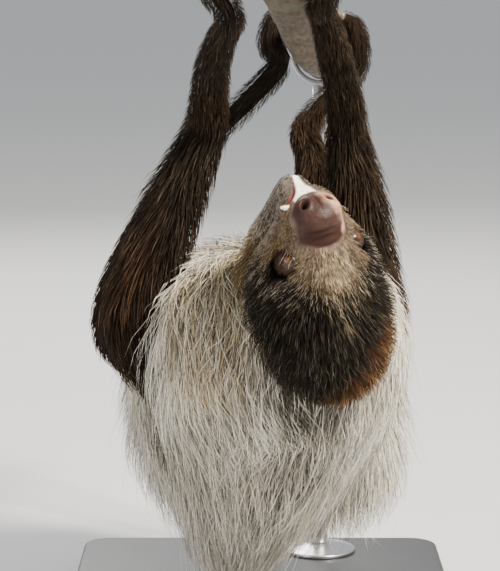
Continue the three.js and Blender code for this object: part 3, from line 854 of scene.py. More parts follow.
# Nostrils sink into the pad, each with a raised rim; a groove parts them and runs down to the lip.
f, l, u = head_frame(places).T
front = ramp(f, 24, 34)
sink = np.zeros(len(places))
for side in (1, -1):
    aside, above = l - side * NOSTRIL["side"], u - NOSTRIL["up"]
    slant = aside * 0.85 - side * above * 0.5
    cross = side * aside * 0.5 + above * 0.85
    gap = np.hypot(slant, cross / 1.45)
    sink -= NOSTRIL["depth"] * np.exp(-((gap / NOSTRIL["radius"]) ** 4)) * front
    sink += 1.0 * bell(gap - NOSTRIL["radius"] - 1.7, 1.5) * front
    sink -= 1.3 * bell(np.hypot(l - side * 16, (u - NOSTRIL["up"] - 3) / 2.2), 2.2) * front
sink -= 0.9 * bell(l, 1.3) * ramp(f, 30, 38) * ramp(-u, -4, 6)
# Folds cross the bridge of the snout, and shallow creases run from the pad's corners to the cheeks.
bridge = ramp(u, 2, 9) * ramp(f, 8, 16) * (1 - ramp(f, 34, 40)) * ramp(22 - np.abs(l), 0, 8)
sink += 0.55 * np.cos((f + 0.02 * l**2) * 2 * np.pi / 6.2) * bridge
places += sink[:, None] * FORWARD * front[:, None] + (sink * (1 - front))[:, None] * CROWN


def mouth_line(l):
    """Height of the mouth's line in the head's frame: lowest a little to its right, where the lip hangs
    over the jaw, and rising steeply, then gently, to both corners."""
    aside = np.where(l > -7, l, -7 + 2.4 * (-7 - l))
    return np.maximum(-16 - 24 * np.exp(-aside / 8), -49)


# Jaw and upper lip are smoothed into one muzzle, and the mouth's line is pressed in, with full lips beside
# it.
f, l, u = head_frame(places).T
around_mouth = ramp(f, 4, 12) * ramp(-u, 16, 22)
places += (relax(fused, places, 14, 0.5) - places) * around_mouth[:, None]
f, l, u = head_frame(places).T
above = (u - mouth_line(l)) / 2.0
front = ramp(f, 20, 27) * ramp(18 - l, 0, 4) * ramp(19 + l, 0, 4)
dent = -1.9 * bell(above, 0.9) + 0.7 * bell(above - 2.6, 1.6) + 0.5 * bell(above + 2.6, 1.6)
places += (dent * front)[:, None] * unit(places - in_head(14, 0, -26))
set_vertices(fused, places)
fused.update()

# ---- markings ----
# The same colours paint skin and coat: a dark cap on the crown with a cream band up from the nose,
# olive-tan cheeks, a grey-cream body, chocolate arms and legs, and bare mauve skin on nose, lids and lips.
# Some of it is painted light: sunlight on the right of the chest, the crown's right rim and the right of
# the nose, and shade inside the nostrils and under the upper lip.
CREAM = np.array([0.62, 0.47, 0.30])
CAP = np.array([0.014, 0.011, 0.008])
RUST = np.array([0.085, 0.031, 0.011])
GOLD = np.array([0.46, 0.27, 0.10])
BROW = np.array([0.20, 0.145, 0.095])
CHEEK = np.array([0.20, 0.132, 0.062])
NECK_SIDE = np.array([0.46, 0.35, 0.19])
MANE = np.array([0.76, 0.69, 0.58])
RUMP = np.array([0.62, 0.57, 0.46])
BELLY = np.array([0.40, 0.31, 0.21])
LIMB = np.array([0.020, 0.014, 0.009])
LIMB_RED = np.array([0.055, 0.022, 0.009])
NOSE_SKIN = np.array([0.036, 0.016, 0.012])
# The pad's lit colour below is a painted sunlit copy of its darker skin.
NOSE_PAINTED_SUNLIT = np.array([0.40, 0.215, 0.15])
BRIDGE = np.array([0.022, 0.007, 0.003])
LID_SKIN = np.array([0.030, 0.015, 0.009])
LIP = np.array([0.95, 0.84, 0.74])
MOUTH = np.array([0.085, 0.006, 0.006])
CHIN = np.array([0.17, 0.135, 0.105])
PALM_SKIN = np.array([0.035, 0.024, 0.020])
SNOUT = np.array([0.15, 0.105, 0.082])
SNOUT_DARK = np.array([0.085, 0.058, 0.045])
# The near-black colour inside the nostrils below is painted shade.
NOSTRIL_PAINTED_SHADE = np.array([0.008, 0.005, 0.004])


def mix(under, over, share):
    """The over colour laid on the under colour by its share."""
    return under + (over - under) * np.asarray(share)[..., None]


def outside_all(p, forms):
    """How far points lie outside the nearest of the forms."""
    return np.min([form.outside(p) for form in forms], axis=0)


def head_coat_color(p):
    """Hair colour at places on the head, in its own frame: cheeks, then brow, dark cap, rusty rim along
    its right and rear, which is partly the hair's own rust and partly painted sunlight, kept to the lit right
    side and golden furthest right, and the cream band over the forehead, which breaks up into single pale
    hairs at its edges."""
    f, l, u = head_frame(p).T
    wander = 3.0 * lumps(p, 9, 21) + 1.5 * lumps(p, 3.5, 22)
    speck = 7 * lumps(p, 0.9, 23)
    color = mix(CHEEK, CHIN, ramp(f + wander + speck, -16, 16) * ramp(wander - u, 8, 26))
    color = mix(color, color * 0.45, ramp(-f + wander + speck, 10, 44) * 0.8)
    color = mix(color, BROW, ramp(f + wander, -4, 6) * ramp(u, -8, 2))
    edge = 1 - 0.12 * np.abs(l - 2)
    cap = ramp(-f + wander + 0.6 * speck, edge - 6, edge + 5) * ramp(u + wander, -30, -18)
    color = mix(color, CAP, cap)
    # The rusty rim is rust hair kept to the right and rear, where the sun falls, and golden furthest right:
    # partly real colour, partly painted sunlight.
    rim = ramp(-f - l + 1.6 * wander + 0.5 * speck, 46, 64) * ramp(u + wander, 24, 44) * ramp(24 - l, 0, 20)
    sunlit_gold = ramp(-f - l + wander, 58, 74) * ramp(speck, 1, 3)
    rusty = mix(RUST, GOLD, sunlit_gold * 0.55)
    color = mix(color, rusty, rim * (0.75 + 0.25 * np.sign(speck - 1)))
    speck = speck + 5 * lumps(p, 1.6, 24)
    band = ramp(8 - np.abs(l + 1) + 1.2 * wander + speck, -5, 5) * ramp(f + wander + 2.2 * speck, -16, 3)
    return mix(color, CREAM, band * ramp(u, 4, 12) * (0.70 + 0.30 * np.sign(speck)))


def body_coat_color(p):
    """Hair colour at places on neck and trunk: cream-grey in paler and darker streaks, painted lighter on the
    right of the chest as sunlight falling there, olive-tan beside the head on its left, brown on the belly,
    and dark at the nape and round the limbs."""
    x, y, z = p.T
    wander = lumps(p, 40, 31)
    color = mix(MANE, RUMP, ramp(y + 20 * wander, -40, 60))
    streak = lumps(p * [1.5, 1.5, 0.4], 26, 33) + 0.6 * lumps(p * [1.5, 1.5, 0.5], 11, 34)
    color = color * (0.92 + 0.32 * streak)[:, None]
    color = mix(color, color * [0.80, 0.74, 0.62], ramp(lumps(p, 30, 35), 0.1, 0.7) * 0.7)
    # Painted sunlight: the right of the chest is made lighter, as where the light falls on it.
    color = color * (1 + 0.3 * ramp(x + 6 * wander, 30, 80) * ramp(-y, 60, 140))[:, None]
    beside = np.linalg.norm(p - [-26, -240, 362], axis=1) + 10 * wander
    color = mix(color, NECK_SIDE, (1 - ramp(beside, 36, 66)) * 0.85)
    nape = skull.outside(p) + 3 * lumps(p, 9, 37) + 4 * lumps(p, 1.5, 38)
    color = mix(color, CAP * 3, (1 - ramp(nape, 3, 12)) * ramp(-head_frame(p)[:, 0], 6, 20) * 0.9)
    color = mix(color, BELLY, ramp(z + 8 * wander, 296, 326) * ramp(y, -190, -120) * 0.8)
    limb = outside_all(p, limbs.values()) + 5 * wander + 3 * lumps(p, 2, 36)
    return mix(color, LIMB * 3, (1 - ramp(limb, 2, 20)) * 0.85)


def limb_coat_color(p):
    """Hair colour at places on arms and legs: chocolate, warmer in lumps and outside both upper arms, and
    paling to the belly's colour where a leg comes out of the body."""
    warm = np.clip(0.5 * lumps(p, 34, 41) + 0.05, 0, 1) * 0.5
    warm = warm + 0.5 * bell(np.linalg.norm(p - [-98, -205, 370], axis=1), 26)
    warm = warm + 0.35 * bell(np.linalg.norm(p - [84, -170, 300], axis=1), 60)
    color = mix(LIMB, LIMB_RED, np.clip(warm, 0, 1))
    reach = np.where(p[:, 1] > -60, 34, 8) + 6 * lumps(p, 2, 42)
    on_body = (1 - ramp(body.outside(p) - reach, -16, 6)) * ramp(p[:, 1], -130, -60)
    return mix(color, BELLY * 0.7, on_body * 0.8)


def face_zones(p):
    """Shares of nose pad, upper lip, mouth line, lower lip and lids, in the head's frame. The pad ends
    below in a shallow arch."""
    f, l, u = head_frame(p).T
    aside = np.abs(l)
    arch = -20 + 0.036 * l**2
    mouth = mouth_line(l)
    front = ramp(f, 20, 27)
    above_arch = ramp(u - arch, -0.9, 0.7)
    above_mouth = ramp(u - mouth, -0.4, 0.9)
    pad = ramp(19 - aside, 0, 2.5) * ramp(f - 0.1 * aside, 13.5, 17) * above_arch
    lip = (1 - above_arch) * above_mouth * front * ramp(12.5 - l, 0, 2) * ramp(l + 8, 0, 3)
    line = bell((u - mouth) / 1.6, 1.0) * front * ramp(17 - l, 0, 3) * ramp(18 + l, 0, 3)
    lower = (1 - above_mouth) * ramp(f, 2, 12)
    lids = 0
    for side in (1, -1):
        gap = p - in_head(EYE["forward"] + 5, side * (EYE["side"] + 6), EYE["up"] + 1)
        lids = np.maximum(lids, 1 - ramp(np.linalg.norm(gap, axis=1) + 2.0 * lumps(p, 2.5, 53), 9.0, 13.0))
    return pad, lip, line, lower, lids


def markings(p):
    """Skin colour and bareness: the nearest form gives the hair's colour, and the face and the palms where they
    grip are laid over it."""
    near_head = outside_all(p, [skull, jaw])
    near_limb = outside_all(p, [*limbs.values(), *palms.values()])
    near_body = body.outside(p)
    on_head = ramp(near_body - near_head, -3, 5)
    on_limb = ramp(np.minimum(near_body, near_head) - near_limb, -3, 5)
    color = mix(body_coat_color(p), head_coat_color(p), on_head)
    color = mix(color, limb_coat_color(p), on_limb) * 0.62
    f, l, u = head_frame(p).T
    on_face = on_head * (1 - on_limb)
    pad, lip, line, lower, lids = (zone * on_face for zone in face_zones(p))
    muzzle = ramp(f + 0.3 * np.minimum(u, 0), -3, 9) * on_face
    color = mix(color, mix(SNOUT, SNOUT_DARK, 0.5 + 0.5 * lumps(p, 4, 50)), muzzle)
    # A dark band just below the mouth line is painted shade under the overhanging lip; the dark dots over the
    # chin are its own colour.
    lip_shade = 0.8 * bell(u - mouth_line(l) + 3, 4.5) * ramp(f, 16, 24)
    dots_and_lip_shade = np.maximum(ramp(lumps(p, 1.5, 55), 0.05, 0.5), lip_shade)
    color = mix(color, mix(CHIN, CHIN * 0.2, dots_and_lip_shade), lower)
    skin = mix(NOSE_SKIN, BRIDGE, ramp(u, 1, 9) * ramp(32 - f, 0, 6))
    # Painted sunlight: the right half of the nose pad and the right side of the snout are made pinker and
    # lighter, as where the sun falls, over the darker skin.
    painted_sunlit = ramp(-l + 3 * lumps(p, 6, 56) - 0.9 * np.maximum(u + 2, 0), 1, 10) * ramp(f, 24, 30)
    painted_sunlit = np.maximum(painted_sunlit, ramp(-l + 2 * lumps(p, 5, 58), 12, 17) * ramp(f, 12, 17))
    skin = mix(skin, NOSE_PAINTED_SUNLIT, painted_sunlit * (0.75 + 0.35 * lumps(p, 2.4, 59)))
    skin = skin * (1 + 0.22 * lumps(p, 5, 51) + 0.15 * lumps(p, 1.6, 52))[:, None]
    color = mix(color, skin, pad)
    bare = np.maximum(muzzle * 0.5, pad * 0.85)
    color = mix(color, LID_SKIN * (1 + 0.35 * lumps(p, 2.5, 54))[:, None], lids)
    # Each nostril is painted near black inside: painted shade in its hollow.
    for side in (1, -1):
        hole = np.hypot(l - side * NOSTRIL["side"], u - NOSTRIL["up"])
        color = mix(color, NOSTRIL_PAINTED_SHADE, (1 - ramp(hole, 1.5, 2.6)) * ramp(f, 30, 35) * on_face)
    lip_tone = 1 + 0.05 * lumps(p, 3, 57) - 0.5 * ramp(lumps(p, 1.2, 60), 0.42, 0.6)
    color = mix(color, LIP * lip_tone[:, None], lip)
    color = mix(color, MOUTH, np.clip(line * 1.3, 0, 1))
    palm = outside_all(p, palms.values())
    grip = ramp(6 - palm, 0, 3) * ramp(7 - branch.outside(p), 0, 4)
    color = mix(color, PALM_SKIN, grip)
    return np.column_stack([np.clip(color, 0.004, 1), np.max([bare, 0.45 * lids, lip, grip], axis=0)])


hide, tree, shader = surface_material("skin", Roughness=0.6)
colors = node(tree, "ShaderNodeAttribute", attribute_name="markings")
where = object_place(tree)
pores = node(tree, "ShaderNodeTexVoronoi", {"Vector": where, "Scale": 620, "Randomness": 1.0})
creases = noise(tree, where, 420, 5, Roughness=0.6).outputs["Fac"]
mottled = scaled(tree, colors.outputs["Color"], spread(tree, creases, 0.80, 1.2))
tree.links.new(mottled, shader.inputs["Base Color"])
bareness = colors.outputs["Alpha"]
tree.links.new(spread(tree, bareness, 0.8, 0.42), shader.inputs["Roughness"])
tree.links.new(spread(tree, bareness, 0.03, 0.16), shader.inputs["Specular IOR Level"])
relief = node(tree, "ShaderNodeMath", {0: pores.outputs["Distance"], 1: creases}, operation="ADD")
bumped(tree, shader, relief.outputs["Value"], 0.3, 0.0005)

SKIN_NODES = ["head", "jaw", "nose", "ear_left", "ear_right", "neck", "trunk"]
for end in ("left", "right"):
    SKIN_NODES += [n + end for n in ("upper_arm_", "forearm_", "hand_", "thigh_", "shin_", "foot_")]
fused.materials.clear()
fused.materials.append(hide)
fused.shade_smooth()
skin = in_scene("skin", fused)
paint(skin, "markings", markings(places))
# The skin's unwrap gives each form a cell of its own. A face lies in its nearest form's cell, by its place
# along the form and its angle round it, and the angles of its corners stay on one side of the seam.
charts = [body, skull, jaw, *limbs.values(), *palms.values()]
gap, along, turn = np.stack([form.place_of(places) for form in charts], 1)
corners = corner_points(fused)
sizes = np.empty(len(fused.polygons), np.int32)
fused.polygons.foreach_get("loop_total", sizes)
first = corners[np.concatenate([[0], np.cumsum(sizes)[:-1]])]
chart = np.repeat(gap.argmin(0)[first], sizes)
ahead = np.repeat(first, sizes)
swing = wrapped(turn[chart, corners] - turn[chart, ahead])
u_at = (chart % 4 + 0.1 + 0.8 * (np.clip(along[chart, corners], -0.2, 1.2) + 0.2) / 1.4) / 4
v_at = (chart // 4 + 0.1 + 0.8 * (turn[chart, ahead] + swing + np.pi) / (2 * np.pi)) / 4
add_uv(fused, "OFBake", np.column_stack([u_at, v_at]))
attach(skin, "root")
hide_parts(*SKIN_NODES)

# ---- eyes ----
# Small round eyes with an amber-brown iris, a fine dark pupil and a clear wet cornea, sunk in dark lids.
IRIS_ANGLE, PUPIL_ANGLE = 25.0, 4.0
CORNEA = dict(bulge=0.045, angle=26)

eye_look, tree, shader = surface_material(
    "eye", Roughness=0.3, Coat_Weight=0.5, Coat_Roughness=0.02, Specular_IOR_Level=0.1
)
polar = node(tree, "ShaderNodeUVMap", uv_map="polar")
parts = node(tree, "ShaderNodeSeparateXYZ", {"Vector": polar.outputs["UV"]})
spokes_at = node(tree, "ShaderNodeMapping", {"Vector": polar.outputs["UV"], "Scale": (3, 60, 1)})
spokes = noise(tree, spokes_at.outputs["Vector"], 1.6, 4)
# The iris is painted brightest just round the pupil, a painted highlight standing in for the catch-light, and
# darkens to its rim.
iris_with_painted_glow = toned(
    tree,
    parts.outputs["X"],
    (0.0, (0.004, 0.003, 0.003)),
    (1.0, (0.014, 0.008, 0.006)),
    (PUPIL_ANGLE / 180, (0.006, 0.004, 0.003)),
    ((PUPIL_ANGLE + 2) / 180, (0.105, 0.042, 0.007)),
    (0.62 * IRIS_ANGLE / 180, (0.058, 0.021, 0.005)),
    (0.92 * IRIS_ANGLE / 180, (0.022, 0.008, 0.003)),
    ((IRIS_ANGLE + 2) / 180, (0.02, 0.010, 0.008)),
)
iris = scaled(tree, iris_with_painted_glow, spread(tree, spokes.outputs["Fac"], 0.55, 1.5))
tree.links.new(iris, shader.inputs["Base Color"])

for side, end in ((1, "left"), (-1, "right")):
    place, gaze = eye_place(side)
    aside = unit(np.cross(Z_UP, gaze))
    axes = np.stack([gaze, aside, np.cross(gaze, aside)])
    lat = np.linspace(-np.pi / 2, np.pi / 2, 49)[1:-1, None]
    cornea = 1 + CORNEA["bulge"] * bell(np.degrees(np.pi / 2 - lat), CORNEA["angle"])
    rings = place + (globe(lat, 72) * (EYE["radius"] * cornea)[..., None]) @ axes
    poles = place + np.array([[-1.0, 0, 0], [1 + CORNEA["bulge"], 0, 0]]) * EYE["radius"] @ axes
    points, faces = closed(rings, poles)
    eye = add_mesh("eyeball_" + end, points, faces, [eye_look], "eye", ["eye_" + end])
    v = (points - place) @ axes.T
    from_gaze = np.arccos(np.clip(v[:, 0] / np.linalg.norm(v, axis=1), -1, 1)) / np.pi
    spin = np.arctan2(v[:, 2], v[:, 1]) / (2 * np.pi) + 0.5
    add_uv(eye.data, "polar", np.column_stack([from_gaze, spin])[corner_points(eye.data)])

# ---- tooth ----
# One ivory canine-like tooth shows at the left corner of the mouth: a curved cone that tapers to a blunt
# tip.
TOOTH = dict(forward=31, side=13, up=-17, radius=2.6, ahead=1.5, out=7, down=2)
ivory, tree, shader = surface_material("tooth", Roughness=0.25, Coat_Weight=0.5, Coat_Roughness=0.1)
stain = noise(tree, object_place(tree), 300, 4)
tone = toned(tree, stain.outputs["Fac"], (0, (0.62, 0.55, 0.42)), (1, (0.88, 0.85, 0.76)))
tree.links.new(tone, shader.inputs["Base Color"])
rows = []
for t in np.linspace(0, 1, 8):
    at = in_head(
        TOOTH["forward"] + TOOTH["ahead"] * t,
        TOOTH["side"] + TOOTH["out"] * t,
        TOOTH["up"] - TOOTH["down"] * t**1.5,
    )
    rows.append([*at, *[TOOTH["radius"] * (1 - 0.6 * t**1.6)] * 3])
points, faces = Form(rows, FORWARD, (0.5, 0.9)).skin(24, 24)
add_mesh("tooth", points, faces, [ivory], "tooth", ["tooth_left"])

# ---- claws ----
# Long curved hooks of horn, two on each hand and three on each foot, which arch over the branch. Each is a
# round form along an arc that closes on the bark towards its tip.
CLAW = dict(radius=4.4, tip=0.8, spacing=10.5, start=48, lift=6, clearance=2.6, rows=8)
horn, tree, shader = surface_material("claw_horn", Roughness=0.35, Coat_Weight=0.2, Coat_Roughness=0.25)
shade = node(tree, "ShaderNodeAttribute", attribute_name="length_and_rim")
ridges = node(tree, "ShaderNodeUVMap", uv_map="along")
ridges_at = node(tree, "ShaderNodeMapping", {"Vector": ridges.outputs["UV"], "Scale": (5, 46, 1)})
streaks = noise(tree, ridges_at.outputs["Vector"], 1.0, 4).outputs["Fac"]
split = node(tree, "ShaderNodeSeparateColor", {"Color": shade.outputs["Color"]})
tone = toned(
    tree,
    split.outputs["Red"],
    (0, (0.085, 0.062, 0.048)),
    (1, (0.42, 0.36, 0.27)),
    (0.45, (0.20, 0.155, 0.115)),
)
tree.links.new(scaled(tree, tone, spread(tree, streaks, 0.6, 1.45)), shader.inputs["Base Color"])
bumped(tree, shader, streaks, 0.3, 0.0006)

for name, hold in HOLDS.items():
    along = branch.section(np.array([hold["along"]]))[1][0]
    for index in range(hold["claws"]):
        shift = (index - (hold["claws"] - 1) / 2) * CLAW["spacing"]
        rows = []
        for t in np.linspace(0, 1, CLAW["rows"]):
            thick = CLAW["radius"] + (CLAW["tip"] - CLAW["radius"]) * t
            out = BRANCH_RADIUS + CLAW["clearance"] + thick + CLAW["lift"] * (1 - t) ** 3
            angle = CLAW["start"] + (hold["reach"] - CLAW["start"]) * t
            rows.append([*round_branch(hold, angle, out, shift), thick, thick, thick * 0.9])
        form = Form(rows, along, (0.5, 0.5))
        points, faces = form.skin(48, 24)
        label = f"claw_{hold['name']}_{index + 1}"
        claw = add_mesh("horn_" + label, points, faces, [horn], "claw", [label])
        count = (len(points) - 2) // 24
        share = np.append(np.repeat(np.linspace(0, 1, count), 24), [0, 1])
        paint(claw, "length_and_rim", np.column_stack([share, share, share, share]))
        spin = np.append(np.tile(np.abs(np.linspace(-1, 1, 24, endpoint=False)), count), [0.5, 0.5])
        add_uv(claw.data, "along", np.column_stack([share, spin])[corner_points(claw.data)])

# ---- coat ----
# Coarse guard hair in thousands of thin tapered tufts. Each is combed over its form: from its root it walks
# with the flow of the coat, rises from the skin to the coat's surface, and is drawn towards its lock's
# middle.
VARIETY = dict(length=(0.72, 1.18), width=(0.7, 1.25), tone=(0.68, 1.32), stray=0.025)
LOCK_SEED = 5
COAT_SEED = 11
HAIR_CELL = 0.003  # side of one hair's cell in the unwrap
hair, tree, shader = surface_material("hair", Roughness=0.6, Specular_IOR_Level=0.08)
colors = node(tree, "ShaderNodeAttribute", attribute_name="markings")
strand = noise(tree, object_place(tree), 340, 2).outputs["Fac"]
streaked = scaled(tree, colors.outputs["Color"], spread(tree, strand, 0.80, 1.2))
tree.links.new(streaked, shader.inputs["Base Color"])
tree.links.new(spread(tree, strand, 0.55, 0.75), shader.inputs["Roughness"])


def dot(a, b):
    """The dot product of each pair of vectors."""
    return (a * b).sum(-1)


def tangents(form, q, a, k):
    """How a point moves with q and with a, and the outward normal."""
    e = 2e-3
    by_q = (form.point(q + e, a, k) - form.point(q - e, a, k)) / (2 * e)
    by_a = (form.point(q, a + e, k) - form.point(q, a - e, k)) / (2 * e)
    return by_q, by_a, unit(np.cross(by_a, by_q))


def scatter(form, count, rng, density):
    """Roots spread evenly by area times density: small cells over the form are picked by their share of
    it."""
    q = np.linspace(-0.96, 1.96, 293)[:-1] + 0.005
    a = np.linspace(0, 2 * np.pi, 181)[:-1] + np.pi / 180
    q, a = (v.ravel() for v in np.meshgrid(q, a, indexing="ij"))
    by_q, by_a, _ = tangents(form, q, a, np.zeros_like(q))
    weight = np.linalg.norm(np.cross(by_a, by_q), axis=1) * density(form.point(q, a, np.zeros_like(q)), q, a)
    total = np.cumsum(weight)
    picked = np.searchsorted(total, (np.arange(count) + rng.random(count)) / count * total[-1])
    picked = np.minimum(picked, len(q) - 1)
    rng.shuffle(picked)
    return q[picked] + (rng.random(count) - 0.5) * 0.01, a[picked] + (rng.random(count) - 0.5) * np.pi / 90


def comb(form, q, a, length, rise, flow, joints, rng, sway):
    """Paths of hairs: at each joint the flow is split into steps of q and a on the form, each hair moves
    on by its length over the joints, and its height goes from the skin towards the coat's surface.
    Neighbours sway alike, by a smooth field, and each hair a little on its own."""
    k = np.zeros_like(q)
    root = form.point(q, a, k)
    path = [form.point(q, a, k - 0.12)]
    shared = np.stack([lumps(root, 24, 61 + i) + 0.5 * lumps(root, 11, 71 + i) for i in range(3)], 1)
    drift = rng.normal(0, 0.4 * sway, (len(q), 3)) + sway * shared
    for i in range(joints):
        by_q, by_a, normal = tangents(form, q, a, k)
        way = unit(flow(form.point(q, a, k), unit(by_q), normal)) + drift * (0.6 + 0.5 * i / joints)
        qq, aa, qa = dot(by_q, by_q), dot(by_a, by_a) + 1e-3, dot(by_q, by_a)
        to_q, to_a = dot(way, by_q), dot(way, by_a)
        below = qq * aa - qa * qa + 1e-3
        dq, da = (to_q * aa - to_a * qa) / below, (to_a * qq - to_q * qa) / below
        step = length / joints
        q = np.clip(q + np.clip(dq * step, -0.2, 0.2), -0.97, 1.97)
        a = a + np.clip(da * step, -0.6, 0.6)
        t = (i + 1) / joints
        k = rise * (1 - (1 - t) ** 1.7)
        path.append(form.point(q, a, k))
    return np.stack(path, 1)


def gather(path, normal, size, pull, curl, seed, rng):
    """Hairs of one lock end near each other: each root finds the nearest of a jittered lattice of lock
    middles, and the path is drawn sideways towards it, more so to its tip, and waves. Gives path and
    lock number."""
    root = path[:, 0]
    cell = np.floor(root / size)
    best = np.full(len(root), 1e9)
    middle, key = np.zeros_like(root), np.zeros(len(root))
    for near in itertools.product((-1, 0, 1), repeat=3):
        there = cell + near
        spot = (there + np.stack([lattice(there, seed + i) for i in range(3)], 1)) * size
        far = np.linalg.norm(spot - root, axis=1)
        closer = far < best
        best = np.where(closer, far, best)
        middle = np.where(closer[:, None], spot, middle)
        key = np.where(closer, lattice(there, seed + 7), key)
    way = unit(path[:, -1] - root)
    aside = unit(np.cross(way, normal))
    amount = dot(middle - root, aside)
    t = np.linspace(0, 1, path.shape[1])[None, :]
    pulls = pull * rng.uniform(0.3, 1.3, len(root))[:, None]
    rate = rng.uniform(3, 6, len(root))[:, None]
    phase = (key * 40 + rng.normal(0, 0.5, len(root)))[:, None]
    wave = curl * np.sin(rate * t + phase)
    shift = (amount[:, None] * pulls * t**1.3 + wave * t)[..., None] * aside[:, None, :]
    return path + shift, key


def tuft_mesh(path, normal, width):
    """A three-sided tapered hair along each path: it starts at a point, swells to rings of three points at
    the joints between, and ends in a point. Gives points, faces for all hairs and each point's share of
    the length."""
    count, rows = path.shape[:2]
    way = unit(np.gradient(path, axis=1))
    side = unit(np.cross(way, normal[:, None, :]))
    lift = np.cross(side, way)
    t = np.linspace(0, 1, rows)
    thick = width[:, None] * np.sin(np.pi * t**0.62)[None, :]
    turns = np.pi / 2 + np.arange(3) * 2 * np.pi / 3
    out = side[:, :, None] * np.cos(turns)[:, None] + 0.7 * lift[:, :, None] * np.sin(turns)[:, None]
    rings = (path[:, :, None] + out * 0.5 * thick[..., None, None])[:, 1:-1].reshape(count, -1, 3)
    points = np.concatenate([path[:, :1], rings, path[:, -1:]], 1)
    each = points.shape[1]
    quads = 1 + ring_quads(rows - 3, 3, rows - 2)
    last = each - 4
    ends = [[0, 1 + (n + 1) % 3, 1 + n] for n in range(3)]
    ends += [[last + n, last + (n + 1) % 3, each - 1] for n in range(3)]
    start = (np.arange(count) * each)[:, None, None]
    share = np.concatenate([[0.0], np.repeat(t[1:-1], 3), [1.0]])
    faces = [(quads + start).reshape(-1, 4), (np.array(ends) + start).reshape(-1, 3)]
    return points.reshape(-1, 3), faces, share


def add_coat(name, form, count, spec, rng):
    """One piece of coat on a form. spec: density, length, width, rise, flow, joints, lock size and pull,
    color, slot. Colours darken to the root, partly a darker undercoat and partly painted shade deep in the
    coat, lighten to the tip, partly paler tips and partly a painted highlight where tips catch the light, and
    vary by hair and by lock."""
    q, a = scatter(form, count, rng, spec["density"])
    root = form.point(q, a, np.zeros_like(q))
    normal = tangents(form, q, a, np.zeros_like(q))[2]
    length = spec["length"](root) * rng.uniform(*VARIETY["length"], count)
    rise = rng.uniform(*spec["rise"], count)
    stray = rng.random(count) < VARIETY["stray"]
    rise = np.where(stray, rise * 1.25 + 0.1, rise)
    path = comb(form, q, a, length, rise, spec["flow"], spec["joints"], rng, spec["sway"])
    path, key = gather(path, normal, spec["lock"], spec["pull"], spec["curl"], LOCK_SEED, rng)
    width = spec["width"](root) * rng.uniform(*VARIETY["width"], count) * np.where(stray, 0.6, 1)
    points, faces, share = tuft_mesh(path, normal, width)
    tone = rng.uniform(*VARIETY["tone"], count) * (0.68 + 0.64 * key)
    color = spec["color"](root) * tone[:, None]
    odd = rng.random(count)[:, None]
    light, dark = spec["odd"]
    color = np.where(odd > 1 - dark, color * 0.36, color)
    # Painted shade and highlight: hairs darken to the root, partly a darker undercoat and partly shade deep in
    # the coat, and lighten to the tip, partly paler tips and partly where tips catch the light.
    low, high = spec["shade"]
    shade = low + (1 - low) * share**0.7 + (high - 1) * np.clip(share * 2 - 1, 0, 1)
    pale = (odd < light) * ramp(share, *spec.get("tips", (0.0, 0.3)))[None, :]
    shade = shade[None, :, None]
    tinted = mix(color[:, None, :] * shade, np.array(spec["light"]) * shade, 0.75 * pale)
    tinted = np.clip(tinted, 0.004, 0.95)
    piece = add_mesh(name, points, faces, [hair], spec["slot"])
    height = np.broadcast_to(share[None, :, None], (*tinted.shape[:2], 1))
    paint(piece, "markings", np.concatenate([tinted, height], -1))
    patch = np.column_stack([np.linspace(0, 7, len(share)) % 1, share]) * HAIR_CELL
    spot = np.column_stack([0.02 + 0.96 * (q + 1) / 3, 0.02 + 0.96 * np.mod(a / (2 * np.pi), 1)])
    spot = spot - HAIR_CELL / 2
    uv_at = (spot[:, None, :] + patch[None, :, :]).reshape(-1, 2)
    add_uv(piece.data, "OFBake", uv_at[corner_points(piece.data)])
    return piece


def even(value):
    """The same value for every hair."""
    return lambda p: np.full(len(p), value)


def clear_of(p, *others):
    """1 where a place is outside all the other forms, and 0 inside any."""
    return ramp(outside_all(p, others), -8, -4)


DOWN = np.array([0.0, 0.0, -1.0])


# The body's hair parts along the belly, falls down both flanks and hangs below the back, and beside the face it
# is swept forward. It is longest over chest and shoulders and shortest at the neck.
def body_flow(p, along, normal):
    belly = ramp(normal[:, 2], 0.3, 0.95)
    part = np.sign(p[:, :1] + 0.001) * X_RIGHT * belly[:, None] * 1.2
    beside_face = ramp(p[:, 2], 285, 335) * ramp(-p[:, 1], 160, 215)
    sweep = 0.18 - 1.1 * beside_face
    return DOWN + part * (1 - beside_face[:, None]) + sweep[:, None] * np.array([0, 1.0, 0])


limb_forms = list(limbs.values())
body_coat = dict(
    density=lambda p, q, a: clear_of(p, skull, jaw, *limb_forms) * (0.6 + 0.8 * ramp(-p[:, 1], 60, 160)),
    length=lambda p: 78 + 10 * ramp(-p[:, 1], -100, 60) - 30 * ramp(-p[:, 1], 225, 290),
    width=even(0.9),
    rise=(0.3, 1.1),
    flow=body_flow,
    sway=0.42,
    curl=3.4,
    joints=4,
    lock=15.0,
    pull=0.5,
    color=body_coat_color,
    odd=(0.26, 0.24),
    light=(0.97, 0.92, 0.80),
    shade=(0.14, 1.4),
    slot="pale_coat",
)
rng = np.random.default_rng(COAT_SEED)
for i in range(4):
    add_coat(f"coat_body_{i + 1}", body, 10000, body_coat, rng)


# The belly's parting is covered by shorter hair that lies back along it, from the chest to the rump.
def belly_flow(p, along, normal):
    return np.array([0, 1.0, 0]) + 0.25 * np.sign(p[:, :1] + 0.001) * X_RIGHT


belly_coat = dict(
    body_coat,
    density=lambda p, q, a: ramp(58 - np.abs(p[:, 0]), 0, 14)
    * ramp(p[:, 1], -150, -110)
    * ramp(p[:, 2], 225, 250),
    length=even(34.0),
    flow=belly_flow,
    curl=1.4,
    joints=3,
    lock=8.0,
)
add_coat("coat_belly", body, 3500, belly_coat, rng)


